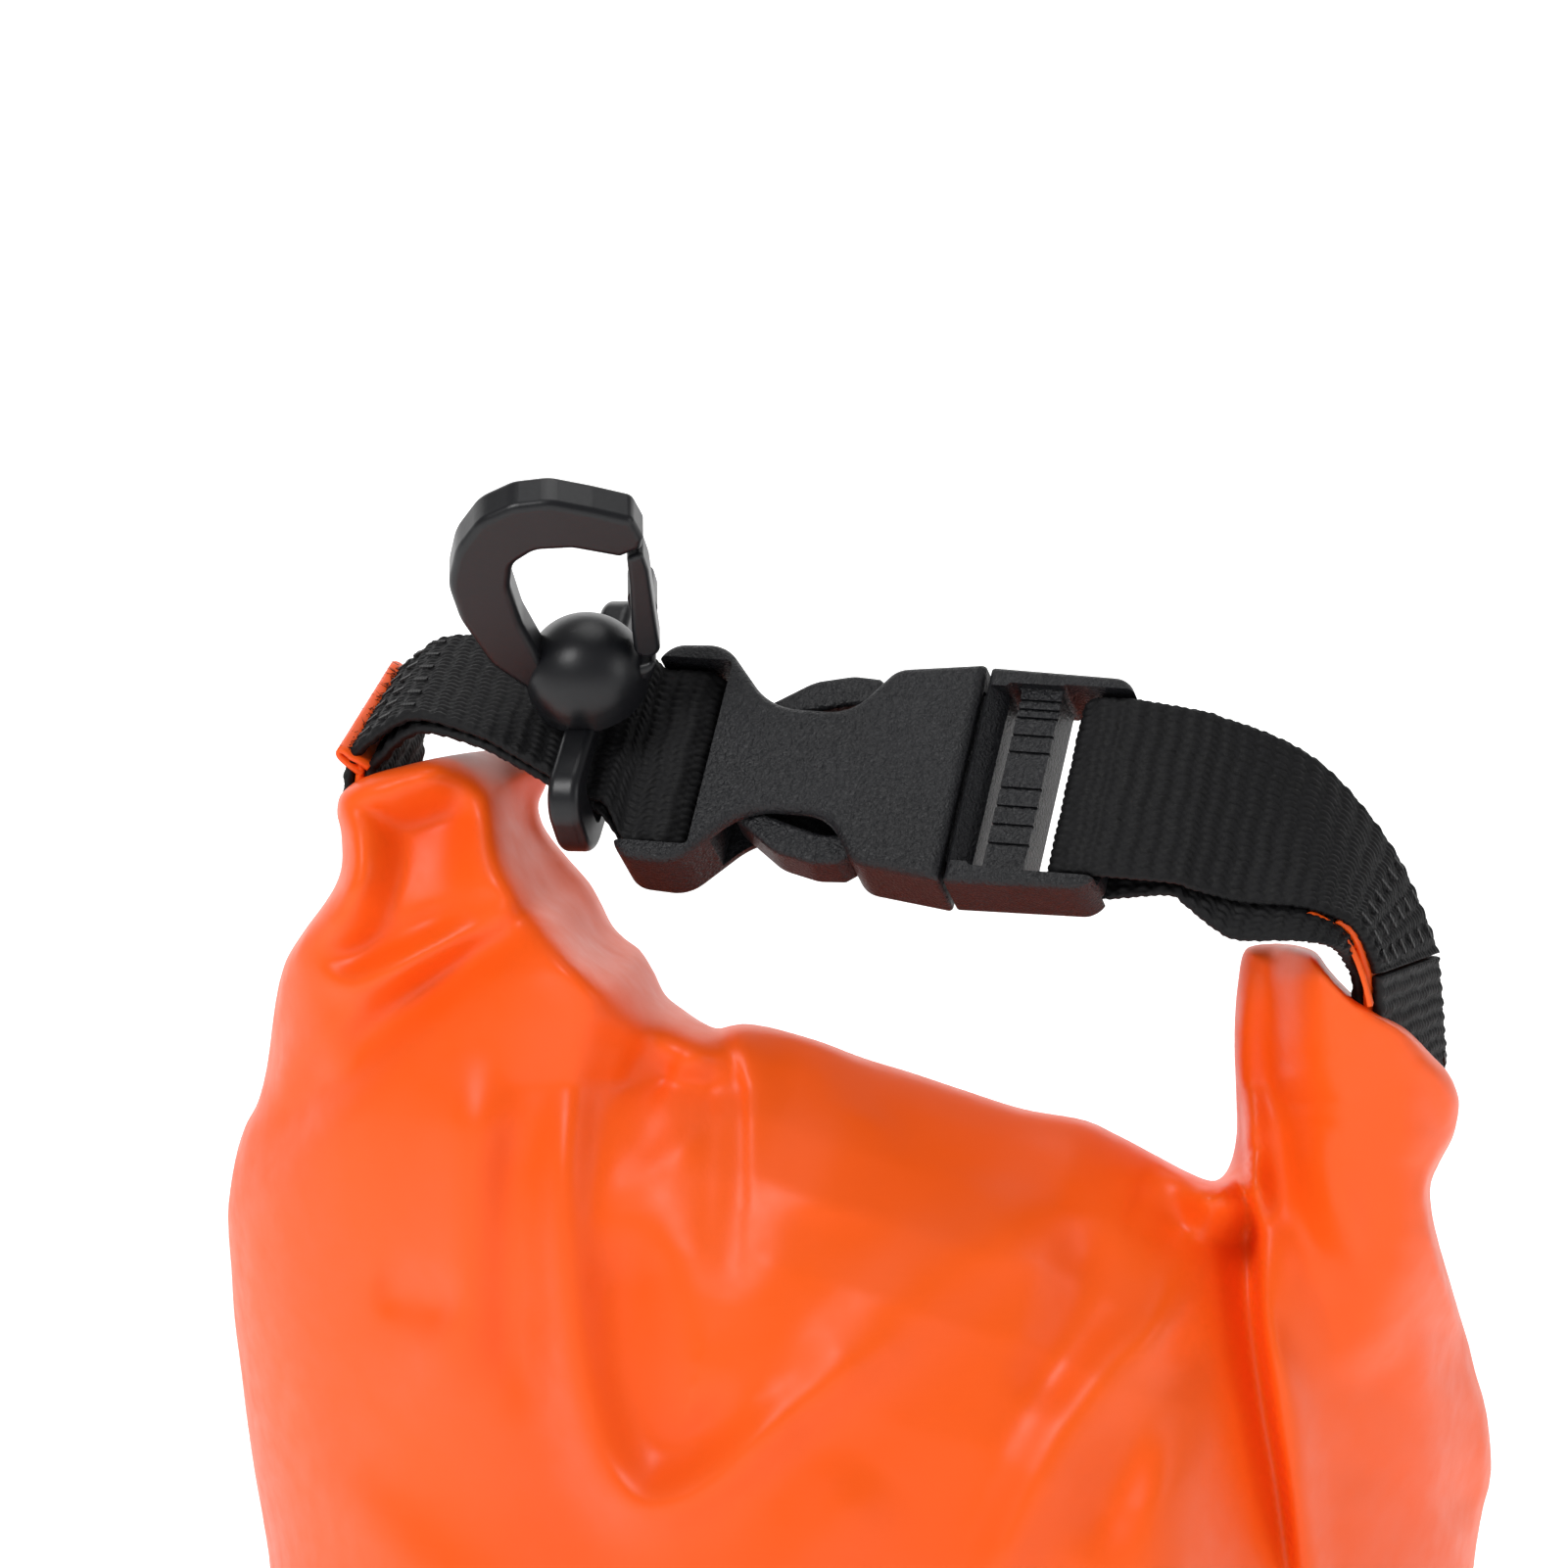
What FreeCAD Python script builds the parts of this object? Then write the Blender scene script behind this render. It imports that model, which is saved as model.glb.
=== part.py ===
# Roll-top dry bag, filled, rolled shut and clipped into its carrying loop.
# Millimetres, +Z up. Origin: centre of the round base, on the surface it stands on.
# The buckle faces -Y. Soft pieces are plain closed solids of the right size and place;
# the buckle and the swivel hook are the real moulded shapes.
import FreeCAD, Part
import os
import math
from FreeCAD import Vector as V

os.makedirs("parts", exist_ok=True)
doc = FreeCAD.newDocument("dry_bag")

# ---------------------------------------------------------------- driving sizes
DIMS = [
    ("bag_radius", 85.0), ("bag_wall", 1.2), ("base_thick", 1.0), ("rim_height", 9.0), ("rim_wall", 0.8),
    ("tape_width", 12.0), ("tape_thick", 0.6), ("tape_height", 168.0),
    ("web_width", 25.0), ("web_thick", 1.4), ("hem_thick", 1.0),
    ("roll_width", 31.0), ("roll_thick", 11.0), ("roll_bore_w", 26.2), ("roll_bore_t", 5.0),
    ("buckle_thick", 10.0), ("cavity_thick", 6.6), ("cavity_width", 24.8), ("cavity_depth", 31.0),
    ("bar_thick", 3.0), ("buckle_slot_w", 26.6), ("buckle_edge", 1.3),
    ("frame_thick", 8.8), ("groove_deep", 0.45), ("block_width", 24.0), ("block_thick", 5.6),
    ("blade_width", 3.2), ("blade_thick", 4.0), ("prong_thick", 5.8), ("prong_edge", 0.7),
    ("ring_depth", 4.2), ("ring_edge", 1.1), ("flange_radius", 7.4), ("flange_thick", 1.0),
    ("pin_radius", 2.2), ("pin_head", 3.4), ("pin_play", 0.06), ("pin_fit", 0.0),
    ("hook_thick", 5.4), ("hook_edge", 1.7), ("gate_thick", 4.6), ("gate_edge", 0.7),
]
sheet = doc.addObject("Spreadsheet::Sheet", "dims")
for i, (name, val) in enumerate(DIMS):
    sheet.set("A%d" % (i + 1), name)
    sheet.set("B%d" % (i + 1), str(val))
    sheet.setAlias("B%d" % (i + 1), name)
doc.recompute()


def D(name):
    return float(sheet.get(name))


# ---------------------------------------------------------------- frames
def unit(v):
    v = V(*v)
    v.normalize()
    return v


# Buckle frame: L along the buckle towards the male half, W up its width, N out of its face.
# Its origin is the centre of the female half's mouth.
BL = unit((0.94330, -0.33039, -0.03215))
BW = V(0.21451, 0.53281, 0.81860)
BW = unit(BW - BL * BW.dot(BL))
BN = BL.cross(BW)
BO = V(12.963, -68.371, 274.655)

# Hook frame: H out of the webbing along the swivel, S across the hook, F out of its face.
HO = V(-33.5, -51.7, 281.55)
HH = unit((-0.20076, -0.62747, 0.75231))
HS = V(0.97943, -0.11258, 0.16747)
HS = unit(HS - HH * HS.dot(HH))
HF = HS.cross(HH)
RW = V(0.20074, 0.72530, 0.65852)
RW = unit(RW - HH * RW.dot(HH))
RD = HH.cross(RW)
RO = HO - RW * 0.8


def placement(o, x, y, z):
    m = FreeCAD.Matrix(x.x, y.x, z.x, o.x, x.y, y.y, z.y, o.y, x.z, y.z, z.z, o.z, 0, 0, 0, 1)
    return FreeCAD.Placement(m)


PL_BUCKLE = placement(BO, BL, BW, BN)
PL_RING = placement(RO, RW, RD, HH)
PL_HOOK = placement(HO, HS, HH, HF)


def buckle_pt(u, v=0.0, w=0.0):
    return BO + BL * u + BW * v + BN * w


# ---------------------------------------------------------------- feature helpers
NODES = []


def new_body(name, place=None):
    body = doc.addObject("PartDesign::Body", name)
    body.Label = name
    if place is not None:
        body.Placement = place
    NODES.append(body)
    return body


def plane(body, role):
    for f in body.Origin.OriginFeatures:
        if f.Role == role:
            return f
    raise RuntimeError("no plane " + role)


def rounded(points, radii):
    """Closed outline of straight runs joined by tangent arcs."""
    n = len(points)
    geo = []
    tin, tout, mids = [], [], []
    for i in range(n):
        p0, p1, p2 = V(*points[i - 1], 0), V(*points[i], 0), V(*points[(i + 1) % n], 0)
        a, b = p0 - p1, p2 - p1
        a.normalize()
        b.normalize()
        r = radii[i]
        ang = math.acos(max(-1, min(1, a.dot(b))))
        if r <= 0 or abs(ang - math.pi) < 1e-4:
            tin.append(p1)
            tout.append(p1)
            mids.append(None)
            continue
        d = r / math.tan(ang / 2)
        bis = a + b
        bis.normalize()
        c = p1 + bis * (r / math.sin(ang / 2))
        tin.append(p1 + a * d)
        tout.append(p1 + b * d)
        mids.append(c - bis * r)
    for i in range(n):
        if mids[i] is not None:
            geo.append(Part.Arc(tin[i], mids[i], tout[i]))
        j = (i + 1) % n
        if (tin[j] - tout[i]).Length > 1e-6:
            geo.append(Part.LineSegment(tout[i], tin[j]))
    return geo


def mirror_v(points, radii):
    """Upper half of an outline, left to right, closed with its mirror image."""
    return points + [(x, -y) for x, y in reversed(points)], radii + list(reversed(radii))


def sketch(body, role, name, geo):
    sk = body.newObject("Sketcher::SketchObject", name)
    sk.AttachmentSupport = (plane(body, role), [""])
    sk.MapMode = "FlatFace"
    for g in geo:
        sk.addGeometry(g, False)
    return sk


def box_geo(x0, y0, x1, y1):
    p = [V(x0, y0, 0), V(x1, y0, 0), V(x1, y1, 0), V(x0, y1, 0)]
    return [Part.LineSegment(p[i], p[(i + 1) % 4]) for i in range(4)]


def circle_geo(x, y, r):
    return [Part.Circle(V(x, y, 0), V(0, 0, 1), r)]


def pad(body, sk, name, length, mid=True):
    f = body.newObject("PartDesign::Pad", name)
    f.Profile = sk
    f.Length = 1.0
    if isinstance(length, str):
        f.setExpression("Length", length)
    else:
        f.Length = length
    f.Midplane = mid
    body.Tip = f
    doc.recompute()
    return f


def pocket(body, sk, name, length, mid=True, rev=False):
    f = body.newObject("PartDesign::Pocket", name)
    f.Profile = sk
    f.Length = 1.0
    if isinstance(length, str):
        f.setExpression("Length", length)
    else:
        f.Length = length
    f.Midplane = mid
    f.Reversed = rev
    before = body.Shape.Volume
    body.Tip = f
    doc.recompute()
    if not body.Shape.Volume < before - 1e-3:
        raise RuntimeError("pocket cuts nothing: " + name)
    return f


def fillet(body, name, base, pick, radius):
    """Round the picked edges; a smaller radius is tried when the full one does not fit."""
    names = ["Edge%d" % (i + 1) for i, e in enumerate(base.Shape.Edges) if pick(e)]
    f = body.newObject("PartDesign::Fillet", name)
    f.Base = (base, names)
    f.setExpression("Radius", radius)
    body.Tip = f
    doc.recompute()
    for scale in (0.8, 0.6, 0.4):
        if f.isValid() and not f.Shape.isNull() and f.Shape.isValid():
            break
        f.setExpression("Radius", "%s * %s" % (radius, scale))
        doc.recompute()
        print("note:", name, "rounded at", scale)
    return f


def face_edges(z):
    def pick(e):
        b = e.BoundBox
        return abs(b.ZMin - z) < 1e-3 and abs(b.ZMax - z) < 1e-3 or abs(b.ZMin + z) < 1e-3 and abs(b.ZMax + z) < 1e-3
    return pick


def feature(name, shape):
    f = doc.addObject("Part::Feature", name)
    f.Label = name
    f.Shape = shape
    NODES.append(f)
    return f


def largest(shape):
    s = sorted(shape.Solids, key=lambda q: -q.Volume)
    return s[0]


# ---------------------------------------------------------------- band and roll route
# Each station: a point on the middle of the band and the direction of the band's width.
LEFT = [  # hem end to buckle
    ((-61.6, -37.9, 280.3), (0.219, 0.909, 0.355)),
    ((-55.7, -42.4, 285.2), (0.149, 0.935, 0.322)),
    ((-47.9, -46.5, 284.9), (0.130, 0.905, 0.406)),
    ((-42.8, -48.6, 284.1), (0.170, 0.840, 0.516)),
    ((-37.8, -50.7, 282.8), (0.199, 0.757, 0.622)),
    ((-30.3, -53.1, 279.6), (0.207, 0.680, 0.703)),
]
RIGHT = [  # buckle to hem end
    ((39.5, -76.8, 273.7), (0.200, 0.586, 0.785)),
    ((47.8, -77.1, 271.5), (0.200, 0.622, 0.758)),
    ((55.6, -76.4, 268.5), (0.180, 0.803, 0.568)),
    ((62.3, -74.1, 261.8), (0.280, 0.931, 0.234)),
    ((66.0, -71.0, 252.8), (0.381, 0.925, -0.017)),
]
ROLL = [  # right hem end, down and round under the handle gap, up to the left hem end
    ((66.0, -71.0, 252.8), (0.381, 0.925, -0.017)),
    ((67.2, -65.5, 242.0), (0.39, 0.91, 0.02)),
    ((69.0, -58.5, 230.0), (0.30, 0.93, 0.15)),
    ((67.5, -53.0, 218.0), (0.20, 0.95, 0.22)),
    ((60.0, -48.5, 208.5), (0.10, 0.96, 0.22)),
    ((45.0, -44.5, 204.5), (0.05, 0.97, 0.18)),
    ((25.0, -41.0, 206.0), (0.00, 0.98, 0.15)),
    ((0.0, -38.5, 211.0), (0.00, 0.98, 0.15)),
    ((-25.0, -37.5, 217.0), (0.00, 0.98, 0.15)),
    ((-46.0, -37.5, 224.0), (0.02, 0.98, 0.15)),
    ((-60.0, -38.0, 235.5), (0.08, 0.97, 0.18)),
    ((-66.0, -38.0, 251.0), (0.14, 0.95, 0.22)),
    ((-65.5, -38.0, 267.5), (0.20, 0.93, 0.30)),
    ((-61.6, -37.9, 280.3), (0.219, 0.909, 0.355)),
]


def catmull(pts, sub):
    """Stations set closer together on a smooth curve."""
    out = []
    n = len(pts)
    for i in range(n - 1):
        p0 = pts[max(i - 1, 0)]
        p1, p2 = pts[i], pts[i + 1]
        p3 = pts[min(i + 2, n - 1)]
        for k in range(sub):
            q = k / sub
            c = []
            for a in range(6):
                x0, x1, x2, x3 = p0[a], p1[a], p2[a], p3[a]
                c.append(0.5 * (2 * x1 + (x2 - x0) * q + (2 * x0 - 5 * x1 + 4 * x2 - x3) * q * q
                                + (3 * x1 - x0 - 3 * x2 + x3) * q ** 3))
            out.append(tuple(c))
    out.append(pts[-1])
    return out


def stations(table, sub):
    rows = catmull([p + w for p, w in table], sub)
    pts = [V(*r[:3]) for r in rows]
    wid = [unit(r[3:]) for r in rows]
    res = []
    for i, p in enumerate(pts):
        a = pts[max(i - 1, 0)]
        b = pts[min(i + 1, len(pts) - 1)]
        tan = b - a
        tan.normalize()
        nor = tan.cross(wid[i])
        nor.normalize()
        res.append((p, wid[i], nor))
    return res


def rect_wire(p, w, n, width, thick):
    a, b = w * (width / 2), n * (thick / 2)
    return Part.makePolygon([p - a - b, p + a - b, p + a + b, p - a + b, p - a - b])


def ribbon(rows, width, thick):
    """rows: (point, width direction, normal)."""
    wires = [rect_wire(p, w, n, width, thick) for p, w, n in rows]
    return Part.makeLoft(wires, True, True, False)


WW, WT = D("web_width"), D("web_thick")
left_rows = stations(LEFT, 3)
right_rows = stations(RIGHT, 3)
roll_rows = stations(ROLL, 3)


def offset_rows(rows, off):
    return [(p + n * o, w, n) for (p, w, n), o in zip(rows, off)]


def ramp(count, a, b):
    return [a + (b - a) * i / (count - 1) for i in range(count)]


# ---------------------------------------------------------------- bag body
def ellipse_wire(cx, cy, z, rx, ry, n=28):
    pts = [V(cx + rx * math.cos(2 * math.pi * i / n), cy + ry * math.sin(2 * math.pi * i / n), z) for i in range(n)]
    c = Part.BSplineCurve()
    c.interpolate(pts, PeriodicFlag=True)
    return Part.Wire([c.toShape()])


def loft_rings(rings, inset=0.0, dz=0.0):
    return Part.makeLoft([ellipse_wire(cx, cy, z + (dz if i else 0), rx - inset, ry - inset)
                          for i, (cx, cy, z, rx, ry) in enumerate(rings)], True, False, False)


R = D("bag_radius")
WALL = D("bag_wall")


def blend_rings(rings, step=7.0):
    """Rings set closer together, eased between the given ones."""
    out = []
    for a, b in zip(rings, rings[1:]):
        k = max(1, int(round(abs(b[2] - a[2]) / step)))
        for i in range(k):
            q = i / k
            out.append(tuple(x + (y - x) * q for x, y in zip(a, b)))
    out.append(rings[-1])
    return out


def loft_rings(rings, inset=0.0):
    return Part.makeLoft([ellipse_wire(cx, cy, z, rx - inset, ry - inset) for cx, cy, z, rx, ry in rings], True, True, False)


def dome_rings(inset):
    """Straight wall up to the shoulder, then a top that leans forward and closes under the roll."""
    rings = [(0, 0, 0.0, R - inset, R - inset), (0, 0, 85.0, R - inset, R - inset), (0, 0, 168.0, R - inset, R - inset)]
    top = [(172, 0.2, 0, 1), (178, 1.2, 2.5, 0), (184, 3.0, 7.0, 0), (190, 6.0, 14.0, 0), (195, 10.0, 21.0, 0),
           (199, 15.0, 29.0, 0), (202, 22.0, 38.0, 0), (204, 32.0, 48.0, 0)]
    for z, dx, dy, _ in top:
        rings.append((0, -dy * 0.86, z - inset * 0.9, R - dx - inset, R - dy - inset * 1.6))
    return rings


RIDGE = [(-2, -42, 176, 66, 36), (-2, -45, 188, 70, 38), (-3, -58, 204, 63, 26), (-5, -66, 216, 52, 15), (-9, -66, 227, 38, 9), (-17, -64, 236, 22, 5)]
EARL = [(-40, -33, 160, 32, 32), (-46, -40, 184, 34, 32), (-51, -48, 204, 31, 27), (-53, -54, 220, 27, 20), (-54, -57, 238, 23, 15),
        (-54.5, -58, 252, 18, 12), (-55, -57, 263, 14, 9), (-55, -56, 268, 11, 6)]
EARR = [(40, -32, 160, 34, 34), (50, -44, 186, 29, 32), (58, -55, 205, 21, 26), (62.5, -63, 220, 13.5, 21), (64, -67, 232, 12.6, 18),
        (63.5, -70, 241, 10.5, 14), (62.5, -72, 247, 8, 9)]
outer = loft_rings(dome_rings(0.0))
for extra in (RIDGE, EARL, EARR):
    outer = outer.fuse(loft_rings(blend_rings(extra, 9.0)))
roll_fat = Part.makeLoft([rect_wire(p, w, n, D("roll_width") + 0.6, D("roll_thick") + 0.6) for p, w, n in roll_rows[4:-4]],
                         True, True, False)
shell = outer.cut(roll_fat)
for rows in (left_rows, right_rows, roll_rows[:7], roll_rows[-7:]):
    shell = shell.cut(ribbon(rows, WW + 1.2, 7.0))
room = loft_rings([(0, 0, -1.0, R - WALL, R - WALL)] + dome_rings(WALL)[1:])
shell = largest(shell).cut(room).cut(roll_fat)
feature("bag_shell", largest(shell))

base = new_body("base_panel")
sk = sketch(base, "XY_Plane", "base_disc", circle_geo(0, 0, R - 1.4))
import Sketcher
sk.addConstraint(Sketcher.Constraint("Coincident", 0, 3, -1, 1))
sk.addConstraint(Sketcher.Constraint("Radius", 0, R - 1.4))
sk.setExpression("Constraints[1]", "dims.bag_radius - dims.bag_wall - 0.2")
pad(base, sk, "base_pad", "dims.base_thick", mid=False)

rim = new_body("base_weld_flange")
sk = sketch(rim, "XY_Plane", "rim_rings", circle_geo(0, 0, R - 1.4) + circle_geo(0, 0, R - 2.4))
sk.addConstraint(Sketcher.Constraint("Coincident", 0, 3, -1, 1))
sk.addConstraint(Sketcher.Constraint("Coincident", 1, 3, -1, 1))
sk.addConstraint(Sketcher.Constraint("Radius", 0, R - 1.4))
sk.addConstraint(Sketcher.Constraint("Radius", 1, R - 2.4))
sk.setExpression("Constraints[2]", "dims.bag_radius - dims.bag_wall - 0.2")
sk.setExpression("Constraints[3]", "dims.bag_radius - dims.bag_wall - 0.2 - dims.rim_wall")
pad(rim, sk, "rim_pad", "dims.rim_height", mid=False)
rim.Placement = FreeCAD.Placement(V(0, 0, D("base_thick") + 0.1), FreeCAD.Rotation())

half = math.degrees(D("tape_width") / 2 / R)
tape = Part.makeCylinder(R + 0.1 + D("tape_thick"), D("tape_height"), V(0, 0, 3), V(0, 0, 1), 2 * half)
tape = tape.cut(Part.makeCylinder(R + 0.1, D("tape_height") + 2, V(0, 0, 2)))
tape.rotate(V(0, 0, 0), V(0, 0, 1), 90 - half)
feature("side_seam_tape", largest(tape.common(Part.makeBox(60, 60, 165, V(-30, 60, 3)))))

# ---------------------------------------------------------------- roll, hem and mouth webbing
ro = Part.makeLoft([rect_wire(p, w, n, D("roll_width"), D("roll_thick")) for p, w, n in roll_rows[5:-6]], True, True, False)
ri = Part.makeLoft([rect_wire(p, w, n, D("roll_bore_w"), D("roll_bore_t")) for p, w, n in roll_rows[4:-5]], True, True, False)
feature("roll_top", largest(ro.cut(ri)))

HT = D("hem_thick")
feature("mouth_hem", ribbon(roll_rows, WW, HT))
off = HT / 2 + 0.1 + WT / 2
feature("mouth_webbing_outer", ribbon(offset_rows(roll_rows[2:-2], [off] * (len(roll_rows) - 4)), WW, WT))
feature("mouth_webbing_inner", ribbon(offset_rows(roll_rows[2:-2], [-off] * (len(roll_rows) - 4)), WW, WT))

# ---------------------------------------------------------------- straps looped through the buckle
BT = D("bar_thick") / 2
RB = BT + 0.75 + WT / 2          # middle of the webbing round a buckle bar


def loop_rows(side):
    """Webbing from the hem, over the bar, round its slot-side edge and back under it."""
    if side < 0:
        rows, uc, ue = left_rows, -38.0, -42.4
    else:
        rows, uc, ue = list(reversed(right_rows)), 16.1, 20.0
    n = len(rows)
    hem = HT / 2 + 0.15 + WT / 2
    seq = []
    up = [hem if i < 2 else max(WT / 2 + 0.08, hem - 0.12 * i) for i in range(n)]
    down = list(up)
    if side < 0:
        up[-1], up[-2] = 1.7, 1.0
        down[-1], down[-2], down[-3] = 1.15, 0.82, 0.78
    else:
        up[-1], up[-2], up[-3] = 1.6, 1.25, 1.0
        down = list(up)
    for (p, w, nn), o in zip(rows, up):
        seq.append((p + nn * o, w, nn))
    for u in (ue, (ue + uc) / 2):
        seq.append((buckle_pt(u, 0, RB), BW, BN))
    sgn = 1 if side < 0 else -1
    for k in range(0, 9):
        a = math.pi / 2 - math.pi * k / 8
        c, s = math.cos(a), math.sin(a)
        seq.append((buckle_pt(uc + sgn * RB * c, 0, RB * s), BW, BL * (sgn * c) + BN * s))
    for u in ((ue + uc) / 2, ue):
        seq.append((buckle_pt(u, 0, -RB), BW, BN * -1))
    for (p, w, nn), o in reversed(list(zip(rows, down))):
        seq.append((p - nn * o, w, nn * -1))
    return seq


left_loop = loop_rows(-1)
right_loop = loop_rows(1)
feature("left_strap", ribbon(left_loop, WW, WT))
feature("right_strap", ribbon(right_loop, WW, WT))


def stitches(rows, picks, across, lift):
    """Short raised threads lying on the outside of the webbing."""
    out = []
    for i in picks:
        p, w, n = rows[i]
        q = rows[i + 1][0]
        tan = q - p
        tan.normalize()
        for a in across:
            c = p + w * a + n * (lift + 0.2)
            b = Part.makeBox(2.0, 0.55, 0.3, V(-1.0, -0.275, -0.15))
            m = placement(c, tan, n.cross(tan), n)
            b.Placement = m
            out.append(b)
    return Part.makeCompound(out)


feature("left_strap_stitching", stitches(left_loop, [1, 2, 3], (-10, -6, -2, 2, 6, 10), WT / 2))
feature("right_strap_stitching", stitches(right_loop, [1, 2, 3], (-10, -6, -2, 2, 6, 10), WT / 2))
mw = offset_rows(roll_rows[2:-2], [off] * (len(roll_rows) - 4))
roll_shape = next(n for n in NODES if n.Label == "roll_top").Shape
sewn = stitches(mw, list(range(2, len(mw) - 3, 2)), (-10.5, 10.5), WT / 2)
# only the stitches that stay clear of the rolled fabric
feature("mouth_stitching", Part.makeCompound([q for q in sewn.Solids if q.common(roll_shape).Volume < 1e-5]))

# ---------------------------------------------------------------- female half of the buckle
fem = new_body("buckle_female", PL_BUCKLE)
pts, rad = mirror_v([(-43.5, 15.4), (-34.8, 15.9), (-27.0, 7.3), (-16.2, 7.3), (-11.6, 13.9), (0.0, 15.4)],
                    [3.6, 5.0, 9.0, 6.0, 3.5, 0.5])
sk = sketch(fem, "XY_Plane", "female_outline", rounded(pts, rad))
p = pad(fem, sk, "female_block", "dims.buckle_thick")
fillet(fem, "female_edges", p, face_edges(D("buckle_thick") / 2), "dims.buckle_edge")
sk = sketch(fem, "YZ_Plane", "female_mouth", rounded([(-12.4, -3.3), (12.4, -3.3), (12.4, 3.3), (-12.4, 3.3)], [0.8] * 4))
pocket(fem, sk, "female_cavity", 62.0)
sk = sketch(fem, "XY_Plane", "female_slot", rounded([(-36.5, -13.3), (-33.2, -13.3), (-33.2, 13.3), (-36.5, 13.3)], [0.0, 0.8, 0.8, 0.0]))
pocket(fem, sk, "female_strap_slot", 40.0)
for tag, z0, z1 in (("top", 1.5, 8.0), ("under", -8.0, -1.5)):
    sk = sketch(fem, "XZ_Plane", "bar_recess_" + tag, box_geo(-46.0, z0, -36.4, z1))
    pocket(fem, sk, "bar_recess_cut_" + tag, "dims.buckle_slot_w")

# ---------------------------------------------------------------- male half of the buckle
male = new_body("buckle_male_frame", PL_BUCKLE)
pts, rad = mirror_v([(0.5, 15.3), (19.7, 14.9)], [0.4, 3.0])
sk = sketch(male, "XY_Plane", "frame_outline", rounded(pts, rad))
p = pad(male, sk, "frame_block", "dims.frame_thick")
fillet(male, "frame_edges", p, face_edges(D("frame_thick") / 2), "dims.buckle_edge * 0.8")
sk = sketch(male, "XY_Plane", "ladder_slot", rounded([(3.1, -13.0), (4.9, -13.0), (4.9, 13.0), (3.1, 13.0)], [0.8] * 4))
pocket(male, sk, "ladder_slot_cut", 40.0)
sk = sketch(male, "XY_Plane", "strap_slot", rounded([(10.2, -13.2), (14.7, -13.2), (14.7, 13.2), (10.2, 13.2)], [0.8, 0.0, 0.0, 0.8]))
pocket(male, sk, "strap_slot_cut", 40.0)
for tag, sg in (("top", 1), ("under", -1)):
    z0, z1 = sorted((1.5 * sg, 8.0 * sg))
    sk = sketch(male, "XZ_Plane", "end_bar_" + tag, box_geo(14.6, z0, 24.0, z1))
    pocket(male, sk, "end_bar_cut_" + tag, 26.4)
    z0, z1 = sorted((3.2 * sg, 8.0 * sg))
    sk = sketch(male, "XZ_Plane", "rib_bar_" + tag, box_geo(4.4, z0, 12.0, z1))
    pocket(male, sk, "rib_bar_cut_" + tag, 26.0)
q = [V(0.9, 4.5, 0), V(3.9, 0.6, 0), V(3.9, 9.0, 0), V(0.9, 9.0, 0)]
sk = sketch(male, "XZ_Plane", "ramp_profile", [Part.LineSegment(q[i], q[(i + 1) % 4]) for i in range(4)])
pocket(male, sk, "ramp_cut", 25.0)
geo = []
for v in (11.2, 9.9, 8.7, 6.2, 3.8, -1.3, -3.9, -6.5, -9.2):
    geo += box_geo(v - 0.22, 3.2 - D("groove_deep"), v + 0.22, 4.5)
sk = sketch(male, "YZ_Plane", "grip_grooves", geo)
sk.AttachmentOffset = FreeCAD.Placement(V(0, 0, 7.55), FreeCAD.Rotation())
pocket(male, sk, "grip_groove_cut", 5.4)
sk = sketch(male, "YZ_Plane", "shoulder", rounded([(-12.0, -2.8), (12.0, -2.8), (12.0, 2.8), (-12.0, 2.8)], [0.6] * 4))
sk.AttachmentOffset = FreeCAD.Placement(V(0, 0, -1.05), FreeCAD.Rotation())
pad(male, sk, "shoulder_block", 3.5)
sk = sketch(male, "XY_Plane", "guide_blade", rounded([(-20.0, -1.6), (-2.0, -1.6), (-2.0, 1.6), (-20.0, 1.6)], [1.2, 0, 0, 1.2]))
pad(male, sk, "guide_blade_pad", "dims.blade_thick")

# ---------------------------------------------------------------- squeeze prongs
PR = [(-3.0, 11.7), (-12.3, 11.9), (-14.1, 13.3), (-17.6, 13.5), (-22.6, 12.3), (-29.0, 7.8), (-29.2, 5.8),
      (-24.8, 7.2), (-17.0, 9.4), (-3.0, 8.7)]
PRr = [1.4, 0.6, 0.5, 5.0, 6.0, 1.0, 0.8, 4.0, 6.0, 1.4]
for name, sg in (("prong_upper", 1), ("prong_lower", -1)):
    b = new_body(name, PL_BUCKLE)
    sk = sketch(b, "XY_Plane", name + "_outline", rounded([(x, y * sg) for x, y in PR], PRr))
    p = pad(b, sk, name + "_pad", "dims.prong_thick")
    fillet(b, name + "_edges", p, face_edges(D("prong_thick") / 2), "dims.prong_edge")

# ---------------------------------------------------------------- hook ring on the strap
ring = new_body("hook_strap_ring", PL_RING)
sk = sketch(ring, "XZ_Plane", "ring_loop",
            rounded([(-18.8, -6.2), (18.8, -6.2), (18.8, 6.2), (-18.8, 6.2)], [4.8] * 4)
            + rounded([(-14.2, -3.8), (14.2, -3.8), (14.2, 3.8), (-14.2, 3.8)], [1.4] * 4))
p = pad(ring, sk, "ring_pad", "dims.ring_depth")


def ring_outer(e):
    b = e.BoundBox
    if not (abs(abs(b.YMin) - D("ring_depth") / 2) < 1e-3 and abs(b.YMax - b.YMin) < 1e-3):
        return False
    return max(abs(b.XMin), abs(b.XMax)) > 14.3 or max(abs(b.ZMin), abs(b.ZMax)) > 3.9


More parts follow.
